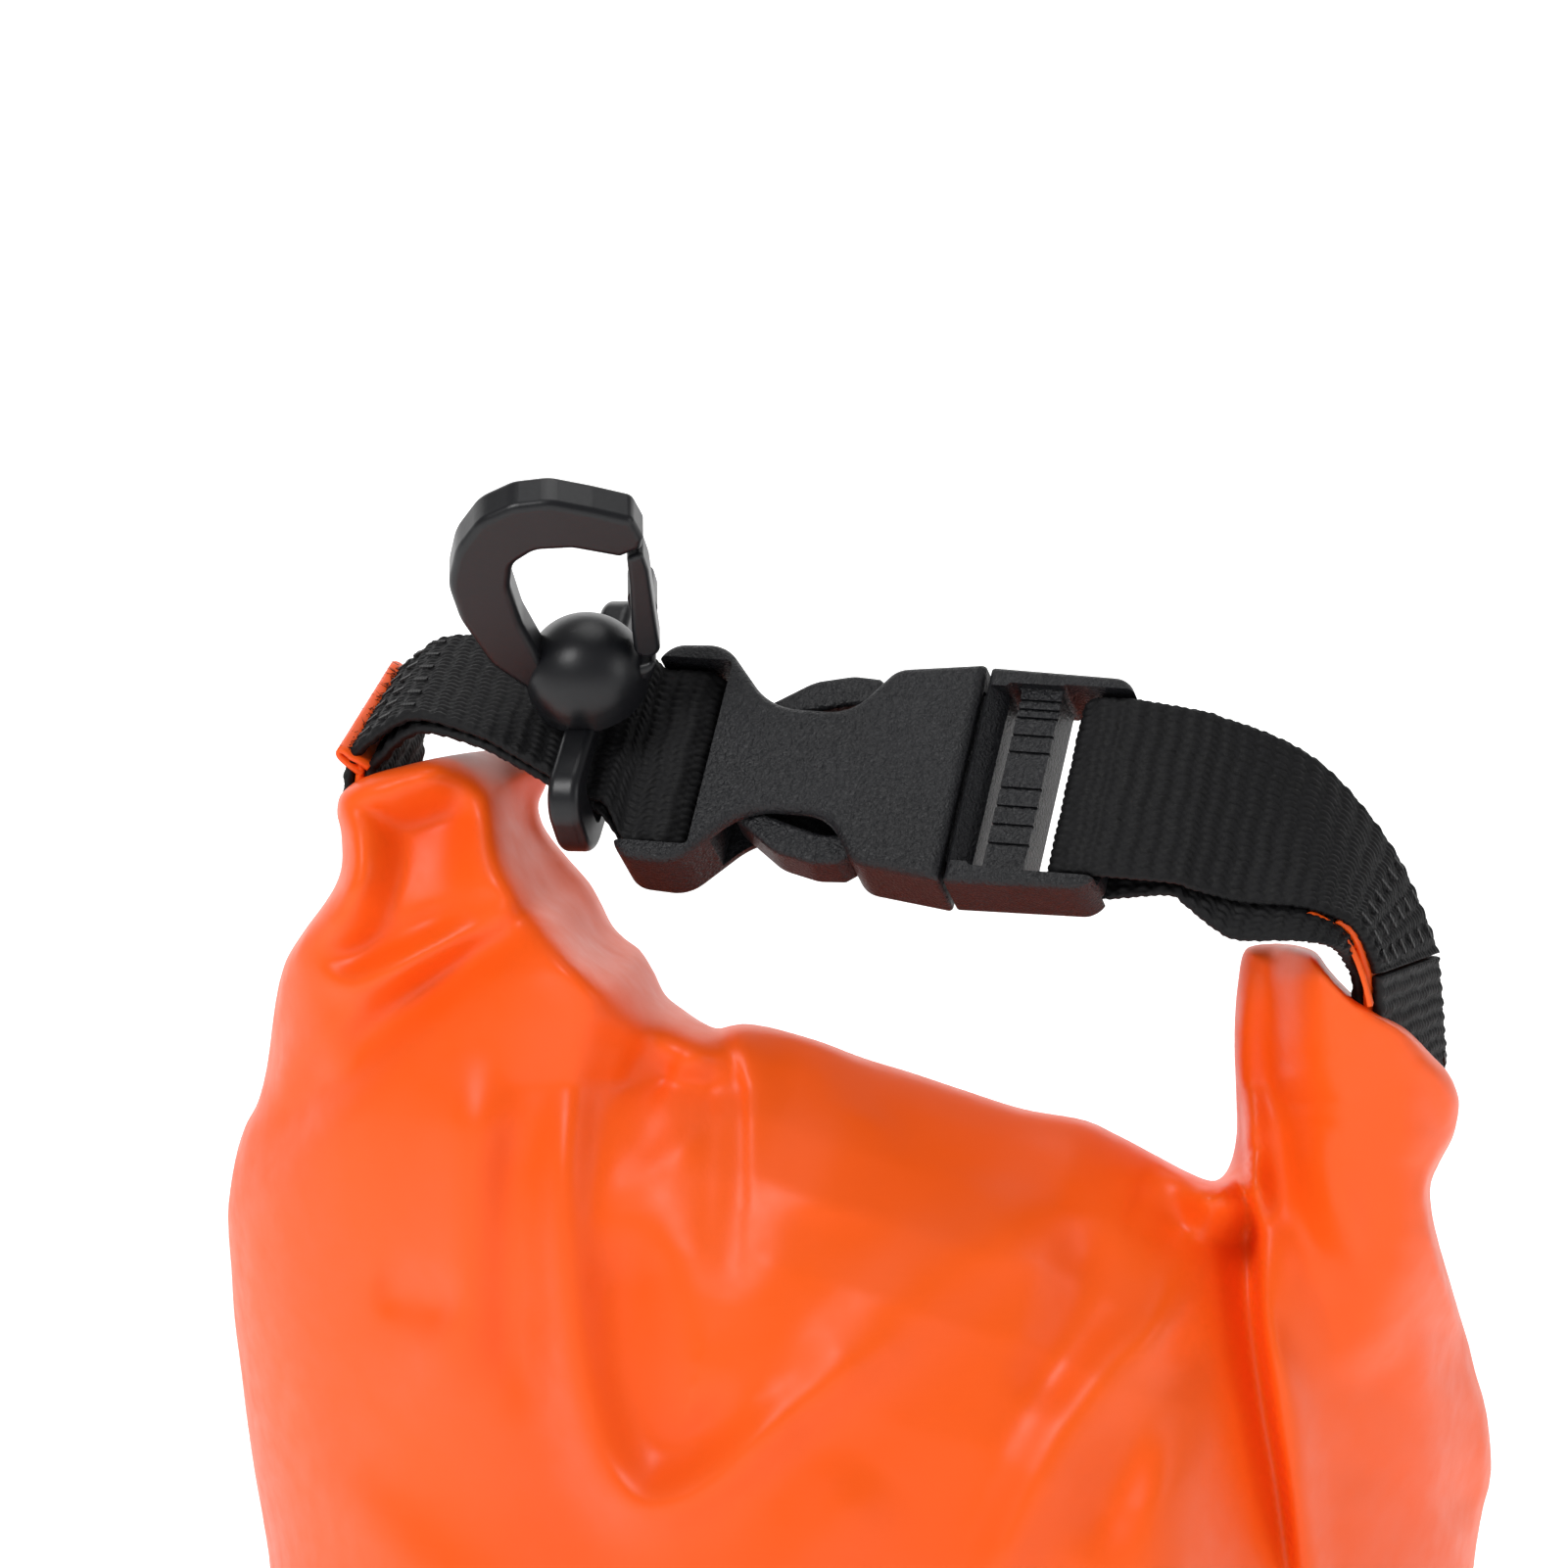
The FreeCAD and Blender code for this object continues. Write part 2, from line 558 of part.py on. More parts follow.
fillet(ring, "ring_edges", p, ring_outer, "dims.ring_edge")
on_pin = PL_RING.inverse().multVec(HO)
sk = sketch(ring, "XY_Plane", "swivel_flange", circle_geo(0, 0, D("flange_radius")))
sk.addConstraint(Sketcher.Constraint("Coincident", 0, 3, -1, 1))
sk.addConstraint(Sketcher.Constraint("Radius", 0, D("flange_radius")))
sk.setExpression("Constraints[1]", "dims.flange_radius")
sk.AttachmentOffset = FreeCAD.Placement(V(on_pin.x, on_pin.y, 5.5), FreeCAD.Rotation())
pad(ring, sk, "swivel_flange_pad", 1.45, mid=False)
sk = sketch(ring, "XY_Plane", "swivel_bore", circle_geo(0, 0, D("pin_radius")))
sk.addConstraint(Sketcher.Constraint("Coincident", 0, 3, -1, 1))
sk.addConstraint(Sketcher.Constraint("Radius", 0, D("pin_radius")))
sk.setExpression("Constraints[1]", "dims.pin_radius")
sk.AttachmentOffset = FreeCAD.Placement(V(on_pin.x, on_pin.y, 2.0), FreeCAD.Rotation())
pocket(ring, sk, "swivel_bore_cut", 6.0, mid=False, rev=True)

# ---------------------------------------------------------------- swivel pin (shaft and captive head)
shaft = doc.addObject("Part::Cylinder", "pin_shaft")
shaft.setExpression("Radius", "dims.pin_radius - dims.pin_fit")
shaft.Height = 9.6
shaft.Placement = FreeCAD.Placement(V(0, 0, 3.8), FreeCAD.Rotation())
head = doc.addObject("Part::Cylinder", "pin_head_disc")
head.setExpression("Radius", "dims.pin_head")
head.Height = 1.2
head.Placement = FreeCAD.Placement(V(0, 0, 12.9), FreeCAD.Rotation())
pin = doc.addObject("Part::Fuse", "swivel_pin")
pin.Base, pin.Tool = shaft, head
pin.Label = "swivel_pin"
pin.Placement = placement(HO, HS, HF * -1, HH)
NODES.append(pin)
doc.recompute()

# ---------------------------------------------------------------- hook body
hook = new_body("hook_body", PL_HOOK)
HKO = [(-6.2, 7.8), (-10.9, 15.0), (-12.8, 23.5), (-12.9, 29.5), (-10.6, 35.0), (-6.6, 39.4), (-2.0, 41.0),
       (2.6, 40.7), (7.4, 38.2), (11.9, 35.6), (12.5, 32.0), (11.9, 30.4), (9.0, 29.6), (3.6, 32.3), (-1.0, 33.0),
       (-4.2, 31.3), (-5.4, 27.6), (-5.4, 21.0), (-4.0, 12.0), (5.0, 10.0), (9.8, 11.0), (8.2, 7.8)]
HKR = [1.0, 8.0, 8.0, 8.0, 8.0, 5.0, 4.0, 5.0, 8.0, 1.4, 0.5, 0.5, 0.8, 3.0, 3.0,
       2.6, 5.0, 8.0, 3.0, 3.0, 0.6, 0.8]


def fit_radii(points, radii):
    """Shrink corner radii until neighbouring arcs fit between the corners."""
    n = len(points)
    need = []
    for i in range(n):
        p0, p1, p2 = V(*points[i - 1], 0), V(*points[i], 0), V(*points[(i + 1) % n], 0)
        a, b = p0 - p1, p2 - p1
        ang = a.getAngle(b)
        need.append(1 / math.tan(ang / 2) if ang < math.pi - 1e-3 else 0)
    rad = list(radii)
    for _ in range(40):
        for i in range(n):
            j = (i + 1) % n
            gap = (V(*points[i], 0) - V(*points[j], 0)).Length * 0.98
            use = rad[i] * need[i] + rad[j] * need[j]
            if use > gap:
                k = gap / use
                rad[i] *= k
                rad[j] *= k
    return rad


sk = sketch(hook, "XY_Plane", "hook_outline", rounded(HKO, fit_radii(HKO, HKR)))
p = pad(hook, sk, "hook_plate", "dims.hook_thick")
fillet(hook, "hook_edges", p, face_edges(D("hook_thick") / 2), "dims.hook_edge")
sk = sketch(hook, "XY_Plane", "boss_profile", [
    Part.LineSegment(V(0, 7.25, 0), V(7.8, 7.25, 0)), Part.LineSegment(V(7.8, 7.25, 0), V(7.8, 8.6, 0)),
    Part.ArcOfCircle(Part.Circle(V(0, 8.6, 0), V(0, 0, 1), 7.8), 0.0, math.pi / 2),
    Part.LineSegment(V(0, 16.4, 0), V(0, 7.25, 0))])
rv = hook.newObject("PartDesign::Revolution", "hook_boss")
rv.Profile = sk
rv.ReferenceAxis = (sk, ["V_Axis"])
rv.Angle = 360.0
hook.Tip = rv
doc.recompute()
pr = D("pin_radius") + D("pin_play")
ph = D("pin_head") + 0.15
q = [V(0, 6.0, 0), V(pr, 6.0, 0), V(pr, 12.8, 0), V(ph, 12.8, 0), V(ph, 14.2, 0), V(0, 14.2, 0)]
sk = sketch(hook, "XY_Plane", "pin_room", [Part.LineSegment(q[i], q[(i + 1) % 6]) for i in range(6)])
gr = hook.newObject("PartDesign::Groove", "pin_room_cut")
gr.Profile = sk
gr.ReferenceAxis = (sk, ["V_Axis"])
gr.Angle = 360.0
before = hook.Shape.Volume
hook.Tip = gr
doc.recompute()
if not hook.Shape.Volume < before - 1:
    raise RuntimeError("pin room cuts nothing")

# ---------------------------------------------------------------- hook gate with its thumb nub
gate = new_body("hook_gate", PL_HOOK)
GT = [(6.95, 11.6), (10.3, 11.6), (11.0, 18.0), (11.9, 26.0), (11.8, 29.6), (9.7, 28.9), (9.0, 24.0), (7.6, 16.5)]
GTr = [1.6, 1.6, 6.0, 6.0, 0.6, 0.6, 6.0, 4.0]
sk = sketch(gate, "XY_Plane", "gate_outline", rounded(GT, fit_radii(GT, GTr)))
p = pad(gate, sk, "gate_pad", "dims.gate_thick")
fillet(gate, "gate_edges", p, face_edges(D("gate_thick") / 2), "dims.gate_edge")
sk = sketch(gate, "XY_Plane", "gate_nub", rounded([(7.6, 15.4), (11.0, 15.4), (11.0, 20.4), (7.6, 20.4)], [1.6] * 4))
sk.AttachmentOffset = FreeCAD.Placement(V(0, 0, -5.8), FreeCAD.Rotation())
pad(gate, sk, "gate_nub_pad", 4.6, mid=False)

# ---------------------------------------------------------------- checks and export
doc.recompute()
for o in doc.Objects:
    if "Invalid" in o.State or "Error" in o.State:
        raise RuntimeError("feature failed: %s %s" % (o.Name, o.State))
for o in NODES:
    if o.Shape.isNull() or not o.Shape.isValid() or not o.Shape.Solids:
        raise RuntimeError("bad shape: " + o.Label)
for f in os.listdir("parts"):
    if f.endswith(".step"):
        os.remove(os.path.join("parts", f))
for o in NODES:
    o.Shape.exportStep("parts/%s.step" % o.Label)
    b = o.Shape.BoundBox
    print("%-22s solids %2d vol %9.1f  x %.1f..%.1f y %.1f..%.1f z %.1f..%.1f" % (
        o.Label, len(o.Shape.Solids), o.Shape.Volume, b.XMin, b.XMax, b.YMin, b.YMax, b.ZMin, b.ZMax))
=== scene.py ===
# Looks of a roll-top dry bag: filled, rolled shut and clipped into its carrying loop.
import bpy
import math
import numpy as np
from mathutils import Vector, Matrix
from mathutils.geometry import delaunay_2d_cdt


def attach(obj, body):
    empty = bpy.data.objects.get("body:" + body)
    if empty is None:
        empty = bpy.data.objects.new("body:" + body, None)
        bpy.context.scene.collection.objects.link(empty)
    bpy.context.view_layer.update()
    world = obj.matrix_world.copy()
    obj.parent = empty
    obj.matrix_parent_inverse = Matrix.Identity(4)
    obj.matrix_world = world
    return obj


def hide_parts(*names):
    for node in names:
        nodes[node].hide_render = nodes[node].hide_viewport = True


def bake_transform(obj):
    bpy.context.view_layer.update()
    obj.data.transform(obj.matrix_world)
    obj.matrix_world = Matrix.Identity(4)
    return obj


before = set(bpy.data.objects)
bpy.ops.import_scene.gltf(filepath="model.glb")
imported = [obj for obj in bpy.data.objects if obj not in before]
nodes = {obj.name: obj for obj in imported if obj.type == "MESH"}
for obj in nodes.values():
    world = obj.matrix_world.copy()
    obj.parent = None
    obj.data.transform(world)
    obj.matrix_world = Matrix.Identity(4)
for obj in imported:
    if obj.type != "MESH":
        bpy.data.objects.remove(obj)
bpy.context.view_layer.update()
MM = 0.001
RNG = np.random.default_rng(7)


def arr(*v):
    return np.array(v, float)


def unit(v):
    v = np.asarray(v, float)
    return v / np.linalg.norm(v)


# ------------------------------------------------------------------ camera
DIST = 900.0
ELEV = math.radians(6.0)
FPX = 6804.0
TGT = arr(-10.3, 0.0, 268.0)
CR = arr(1, 0, 0)
CT = arr(0, -math.cos(ELEV), math.sin(ELEV))
CU = arr(0, math.sin(ELEV), math.cos(ELEV))
CAM = TGT + CT * DIST

cam_data = bpy.data.cameras.new("camera")
cam_data.sensor_width = 36.0
cam_data.lens = FPX / 1601 * 36.0
cam = bpy.data.objects.new("camera", cam_data)
bpy.context.scene.collection.objects.link(cam)
rot = Matrix(((CR[0], CU[0], CT[0]), (CR[1], CU[1], CT[1]), (CR[2], CU[2], CT[2])))
cam.matrix_world = Matrix.Translation(Vector(CAM * MM)) @ rot.to_4x4()
cam_data.clip_start, cam_data.clip_end = 0.05, 50.0
bpy.context.scene.camera = cam
bpy.context.scene.view_settings.view_transform = "Standard"


def proj(p):
    p = np.asarray(p, float) - CAM
    z = -(p @ CT)
    return np.stack([800.5 + FPX * (p @ CR) / z, 800.5 - FPX * (p @ CU) / z], -1)


def unproj(px, py, y):
    """World points (mm) at those places in the frame and those depths y."""
    px, py, y = np.broadcast_arrays(np.asarray(px, float), np.asarray(py, float), np.asarray(y, float))
    d = (CR * ((px - 800.5) / FPX)[..., None] - CU * ((py - 800.5) / FPX)[..., None] - CT)
    t = (y - CAM[1]) / d[..., 1]
    return CAM + d * t[..., None]


# ------------------------------------------------------------------ small tools
def smooth(a, b, x):
    t = np.clip((np.asarray(x, float) - a) / (b - a), 0, 1)
    return t * t * (3 - 2 * t)


def table(x, pairs):
    xs, ys = zip(*pairs)
    return np.interp(x, xs, ys)


def soft_table(x, pairs, w):
    """The table's broken line with its corners rounded over a width w."""
    x = np.asarray(x, float)
    return sum(table(x + w * k, pairs) * q for k, q in ((-1, .1), (-.5, .2), (0, .4), (.5, .2), (1, .1)))


def catmull(pts, sub):
    pts = np.asarray(pts, float)
    n = len(pts)
    out = []
    for i in range(n - 1):
        p0, p1, p2, p3 = pts[max(i - 1, 0)], pts[i], pts[i + 1], pts[min(i + 2, n - 1)]
        for k in range(sub):
            q = k / sub
            out.append(0.5 * (2 * p1 + (p2 - p0) * q + (2 * p0 - 5 * p1 + 4 * p2 - p3) * q * q
                              + (3 * p1 - p0 - 3 * p2 + p3) * q ** 3))
    out.append(pts[-1])
    return np.array(out)


def resample(pts, step):
    pts = np.asarray(pts, float)
    s = np.concatenate([[0], np.cumsum(np.linalg.norm(np.diff(pts[:, :3], axis=0), axis=1))])
    n = max(2, int(round(s[-1] / step)) + 1)
    q = np.linspace(0, s[-1], n)
    return np.stack([np.interp(q, s, pts[:, k]) for k in range(pts.shape[1])], 1), q


def mesh_object(name, verts, faces, body=None, material=None, smooth_shade=True, slot=None, replaces=()):
    me = bpy.data.meshes.new(name)
    me.from_pydata([tuple(v) for v in np.asarray(verts, float) * MM], [], [tuple(int(i) for i in f) for f in faces])
    me.validate()
    me.update()
    if smooth_shade:
        me.polygons.foreach_set("use_smooth", [True] * len(me.polygons))
    ob = bpy.data.objects.new(name, me)
    bpy.context.scene.collection.objects.link(ob)
    if material is not None:
        me.materials.append(material)
    if body:
        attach(ob, body)
    if replaces:
        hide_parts(*replaces)
    return ob


def grid_faces(nr, nc, base=0, wrap=False, flip=False):
    r = np.arange(nr - 1)[:, None]
    c = np.arange(nc if wrap else nc - 1)[None, :]
    c2 = (c + 1) % nc
    a, b, d, e = base + r * nc + c, base + r * nc + c2, base + (r + 1) * nc + c2, base + (r + 1) * nc + c
    f = np.stack([a, b, d, e], -1).reshape(-1, 4)
    return f[:, ::-1] if flip else f


def normals_out(ob):
    import bmesh
    bm = bmesh.new()
    bm.from_mesh(ob.data)
    bmesh.ops.recalc_face_normals(bm, faces=bm.faces)
    bm.to_mesh(ob.data)
    bm.free()


# ------------------------------------------------------------------ materials
def new_material(name):
    m = bpy.data.materials.new(name)
    m.use_nodes = True
    nt = m.node_tree
    bsdf = next(n for n in nt.nodes if n.type == "BSDF_PRINCIPLED")
    return m, nt, bsdf


def node(nt, kind, **kw):
    n = nt.nodes.new(kind)
    for k, v in kw.items():
        if k in n.inputs:
            n.inputs[k].default_value = v
        else:
            setattr(n, k, v)
    return n


def coords(nt, scale=(1, 1, 1)):
    tc = node(nt, "ShaderNodeTexCoord")
    mp = node(nt, "ShaderNodeMapping")
    mp.inputs["Scale"].default_value = scale
    nt.links.new(tc.outputs["Object"], mp.inputs["Vector"])
    return mp.outputs["Vector"]


def noise(nt, vec, scale, detail=3.0, rough=0.5):
    n = node(nt, "ShaderNodeTexNoise")
    n.inputs["Scale"].default_value = scale
    n.inputs["Detail"].default_value = detail
    n.inputs["Roughness"].default_value = rough
    nt.links.new(vec, n.inputs["Vector"])
    return n.outputs["Fac"]


def ramp(nt, fac, stops):
    r = node(nt, "ShaderNodeValToRGB")
    r.color_ramp.elements[0].position, r.color_ramp.elements[0].color = stops[0][0], (*stops[0][1], 1)
    r.color_ramp.elements[1].position, r.color_ramp.elements[1].color = stops[-1][0], (*stops[-1][1], 1)
    for p, c in stops[1:-1]:
        e = r.color_ramp.elements.new(p)
        e.color = (*c, 1)
    nt.links.new(fac, r.inputs["Fac"])
    return r.outputs["Color"]


def bump(nt, height, strength, distance, after=None):
    b = node(nt, "ShaderNodeBump")
    b.inputs["Strength"].default_value = strength
    b.inputs["Distance"].default_value = distance
    nt.links.new(height, b.inputs["Height"])
    if after is not None:
        nt.links.new(after, b.inputs["Normal"])
    return b.outputs["Normal"]


def maprange(nt, fac, lo, hi, a=0.0, b=1.0):
    n = node(nt, "ShaderNodeMapRange")
    n.inputs["From Min"].default_value = a
    n.inputs["From Max"].default_value = b
    n.inputs["To Min"].default_value = lo
    n.inputs["To Max"].default_value = hi
    nt.links.new(fac, n.inputs["Value"])
    return n.outputs["Result"]


def coated_fabric():
    m, nt, b = new_material("coated_fabric")
    vec = coords(nt)
    big = noise(nt, vec, 16.0, 2.0)
    nt.links.new(ramp(nt, big, [(0.3, (0.86, 0.088, 0.004)), (0.55, (0.90, 0.100, 0.0055)), (0.8, (0.93, 0.112, 0.0075))]),
                 b.inputs["Base Color"])
    mid = noise(nt, vec, 240.0, 3.0)
    nt.links.new(maprange(nt, mid, 0.36, 0.47, 0.3, 0.7), b.inputs["Roughness"])
    lines = noise(nt, coords(nt, (60, 60, 1500)), 1.0, 2.0)
    n1 = bump(nt, lines, 0.05, 0.0002)
    n2 = bump(nt, noise(nt, vec, 120.0, 3.0), 0.10, 0.0006, n1)
    nt.links.new(n2, b.inputs["Normal"])
    b.inputs["Specular IOR Level"].default_value = 0.26
    return m


def webbing_material():
    m, nt, b = new_material("webbing")
    vec = coords(nt)
    f = noise(nt, vec, 900.0, 3.0, 0.6)
    nt.links.new(ramp(nt, f, [(0.3, (0.0022, 0.0022, 0.0025)), (0.7, (0.0065, 0.0065, 0.0075))]), b.inputs["Base Color"])
    fib = noise(nt, coords(nt, (1, 1, 1)), 4200.0, 2.0, 0.6)
    nt.links.new(bump(nt, fib, 0.35, 0.00012), b.inputs["Normal"])
    nt.links.new(maprange(nt, f, 0.55, 0.75, 0.3, 0.7), b.inputs["Roughness"])
    b.inputs["Specular IOR Level"].default_value = 0.24
    return m


def thread_material():
    m, nt, b = new_material("thread")
    vec = coords(nt)
    f = noise(nt, vec, 2500.0, 2.0)
    nt.links.new(ramp(nt, f, [(0.3, (0.003, 0.003, 0.0035)), (0.7, (0.010, 0.010, 0.011))]), b.inputs["Base Color"])
    w = node(nt, "ShaderNodeTexWave")
    w.inputs["Scale"].default_value = 900.0
    nt.links.new(coords(nt, (1, 1, 1)), w.inputs["Vector"])
    nt.links.new(bump(nt, w.outputs["Fac"], 0.4, 0.0001), b.inputs["Normal"])
    nt.links.new(maprange(nt, f, 0.5, 0.7), b.inputs["Roughness"])
    return m


def plastic_material(name, grain):
    m, nt, b = new_material(name)
    vec = coords(nt)
    c = noise(nt, vec, 60.0, 2.0)
    nt.links.new(ramp(nt, c, [(0.3, (0.0045, 0.0047, 0.006)), (0.7, (0.0075, 0.0078, 0.0098))]), b.inputs["Base Color"])
    if grain:
        v = node(nt, "ShaderNodeTexVoronoi", feature="F1")
        v.inputs["Scale"].default_value = 2300.0
        v.inputs["Randomness"].default_value = 1.0
        warp = node(nt, "ShaderNodeMixRGB")
        warp.inputs["Fac"].default_value = 0.0011
        nz = node(nt, "ShaderNodeTexNoise")
        nz.inputs["Scale"].default_value = 1500.0
        nt.links.new(vec, nz.inputs["Vector"])
        nt.links.new(vec, warp.inputs["Color1"])
        nt.links.new(nz.outputs["Color"], warp.inputs["Color2"])
        nt.links.new(warp.outputs["Color"], v.inputs["Vector"])
        n1 = bump(nt, v.outputs["Distance"], 0.9, 0.00016)
        n2 = bump(nt, noise(nt, vec, 3200.0, 2.0), 0.55, 0.00012, n1)
        nt.links.new(n2, b.inputs["Normal"])
        nt.links.new(maprange(nt, v.outputs["Distance"], 0.40, 0.52), b.inputs["Roughness"])
    else:
        n1 = bump(nt, noise(nt, vec, 900.0, 2.0), 0.18, 0.00010)
        nt.links.new(n1, b.inputs["Normal"])
        nt.links.new(maprange(nt, c, 0.30, 0.42), b.inputs["Roughness"])
    b.inputs["Specular IOR Level"].default_value = 0.36
    return m


ORANGE = coated_fabric()
WEB = webbing_material()
THREAD = thread_material()
PLASTIC = plastic_material("black_plastic_grained", True)
SMOOTH_PLASTIC = plastic_material("black_plastic_smooth", False)


def give(name, material):
    o = nodes[name]
    if not o.data.materials:
        o.data.materials.append(material)
    for s in o.material_slots:
        s.material = material


for n_ in ("bag_shell", "base_panel", "base_weld_flange", "side_seam_tape", "roll_top", "mouth_hem"):
    give(n_, ORANGE)
for n_ in ("mouth_webbing_outer", "mouth_webbing_inner", "left_strap", "right_strap"):
    give(n_, WEB)
for n_ in ("left_strap_stitching", "right_strap_stitching", "mouth_stitching"):
    give(n_, THREAD)
for n_ in ("buckle_female", "buckle_male_frame", "prong_upper", "prong_lower"):
    give(n_, PLASTIC)
for n_ in ("hook_strap_ring", "hook_body", "hook_gate", "swivel_pin"):
    give(n_, SMOOTH_PLASTIC)

# ------------------------------------------------------------------ routes of the band (mm)
LEFT = [((-61.6, -37.9, 280.3), (0.219, 0.909, 0.355)), ((-55.7, -42.4, 285.2), (0.149, 0.935, 0.322)),
        ((-47.9, -46.5, 284.9), (0.130, 0.905, 0.406)), ((-42.8, -48.6, 284.1), (0.170, 0.840, 0.516)),
        ((-37.8, -50.7, 282.8), (0.199, 0.757, 0.622)), ((-30.3, -53.1, 279.6), (0.207, 0.680, 0.703))]
RIGHT = [((39.5, -76.8, 273.7), (0.200, 0.586, 0.785)), ((47.8, -77.1, 271.5), (0.200, 0.622, 0.758)),
         ((55.6, -76.4, 268.5), (0.180, 0.803, 0.568)), ((62.3, -74.1, 261.8), (0.280, 0.931, 0.234)),
         ((66.0, -71.0, 252.8), (0.381, 0.925, -0.017))]
ROLL = [((66.0, -71.0, 252.8), (0.381, 0.925, -0.017)), ((67.2, -65.5, 242.0), (0.39, 0.91, 0.02)),
        ((69.0, -58.5, 230.0), (0.30, 0.93, 0.15)), ((67.5, -53.0, 218.0), (0.20, 0.95, 0.22)),
        ((60.0, -48.5, 208.5), (0.10, 0.96, 0.22)), ((45.0, -44.5, 204.5), (0.05, 0.97, 0.18)),
        ((25.0, -41.0, 206.0), (0.00, 0.98, 0.15)), ((0.0, -38.5, 211.0), (0.00, 0.98, 0.15)),
        ((-25.0, -37.5, 217.0), (0.00, 0.98, 0.15)), ((-46.0, -37.5, 224.0), (0.02, 0.98, 0.15)),
        ((-60.0, -38.0, 235.5), (0.08, 0.97, 0.18)), ((-66.0, -38.0, 251.0), (0.14, 0.95, 0.22)),
        ((-65.5, -38.0, 267.5), (0.20, 0.93, 0.30)), ((-61.6, -37.9, 280.3), (0.219, 0.909, 0.355))]
WW, WT, HT, RB = 25.0, 1.4, 1.0, 2.95
BL = unit((0.94330, -0.33039, -0.03215))
BW = arr(0.21451, 0.53281, 0.81860)
BW = unit(BW - BL * (BW @ BL))
BN = np.cross(BL, BW)
BO = arr(12.963, -68.371, 274.655)


def rows_of(tab, sub=3):
    r = catmull([p + w for p, w in tab], sub)
    return with_normals(r[:, :3], r[:, 3:])


def with_normals(p, w):
    w = w / np.linalg.norm(w, axis=1)[:, None]
    tan = np.gradient(p, axis=0)
    n = np.cross(tan, w)
    n /= np.linalg.norm(n, axis=1)[:, None]
    return np.concatenate([p, w, n], 1)


def loop_rows(side):
    if side < 0:
        rows, uc, ue = rows_of(LEFT), -38.0, -42.4
    else:
        rows, uc, ue = rows_of(RIGHT)[::-1].copy(), 16.1, 20.0
    n = len(rows)
    hem = HT / 2 + 0.15 + WT / 2
    up = [hem if i < 2 else max(WT / 2 + 0.08, hem - 0.12 * i) for i in range(n)]
    down = list(up)
    if side < 0:
        up[-1], up[-2] = 1.7, 1.0
        down[-1], down[-2], down[-3] = 1.15, 0.82, 0.78
    else:
        up[-1], up[-2], up[-3] = 1.6, 1.25, 1.0
        down = list(up)
    seq = [np.concatenate([r[:3] + r[6:] * o, r[3:6], r[6:]]) for r, o in zip(rows, up)]

    def at(u, w, nn):
        return np.concatenate([BO + BL * u + BN * w, BW, nn])
    for u in (ue, (ue + uc) / 2):
        seq.append(at(u, RB, BN))
    sg = 1 if side < 0 else -1
    for k in range(9):
        a = math.pi / 2 - math.pi * k / 8
        seq.append(at(uc + sg * RB * math.cos(a), RB * math.sin(a), BL * (sg * math.cos(a)) + BN * math.sin(a)))
    for u in ((ue + uc) / 2, ue):
        seq.append(at(u, -RB, -BN))
    under = [np.concatenate([r[:3] - r[6:] * o, r[3:6], -r[6:]]) for r, o in reversed(list(zip(rows, down)))]
    if side > 0:                                   # the inner layer hangs lower than the outer one
        for k, r in enumerate(under):
            u = k / (len(under) - 1)
            r[:3] -= r[3:6] * 4.6 * float(smooth(0.0, 0.28, u) * (1 - smooth(0.72, 1.0, u)))
    return np.array(seq + under)


# ------------------------------------------------------------------ woven webbing
RIB, YARN = 2.3, 1.05


def weave(x, y, side):
    """Height of the weave, 0..1, at x along and y across the webbing (mm)."""
    x = x + 0.16 * np.sin(y * 0.9 + side) + 0.09 * np.sin(y * 2.7 + 1.3 + x * 0.21) + (0.5 * RIB if side < 0 else 0)
    y = y + 0.05 * np.sin(x * 1.7) + 0.04 * np.sin(x * 0.43 + 2)
    dx = (x / RIB - np.round(x / RIB)) * RIB
    dy = (y / YARN - np.round(y / YARN)) * YARN
    a = np.sqrt(np.clip(1 - (dx / 1.02) ** 2 - (dy / 0.60) ** 2, 0, 1))
    x2, y2 = x / RIB + 0.5, y / YARN + 0.5
    dx = (x2 - np.round(x2)) * RIB
    dy = (y2 - np.round(y2)) * YARN
    b = 0.58 * np.sqrt(np.clip(1 - (dx / 0.66) ** 2 - (dy / 0.60) ** 2, 0, 1))
    return np.maximum(a, b)


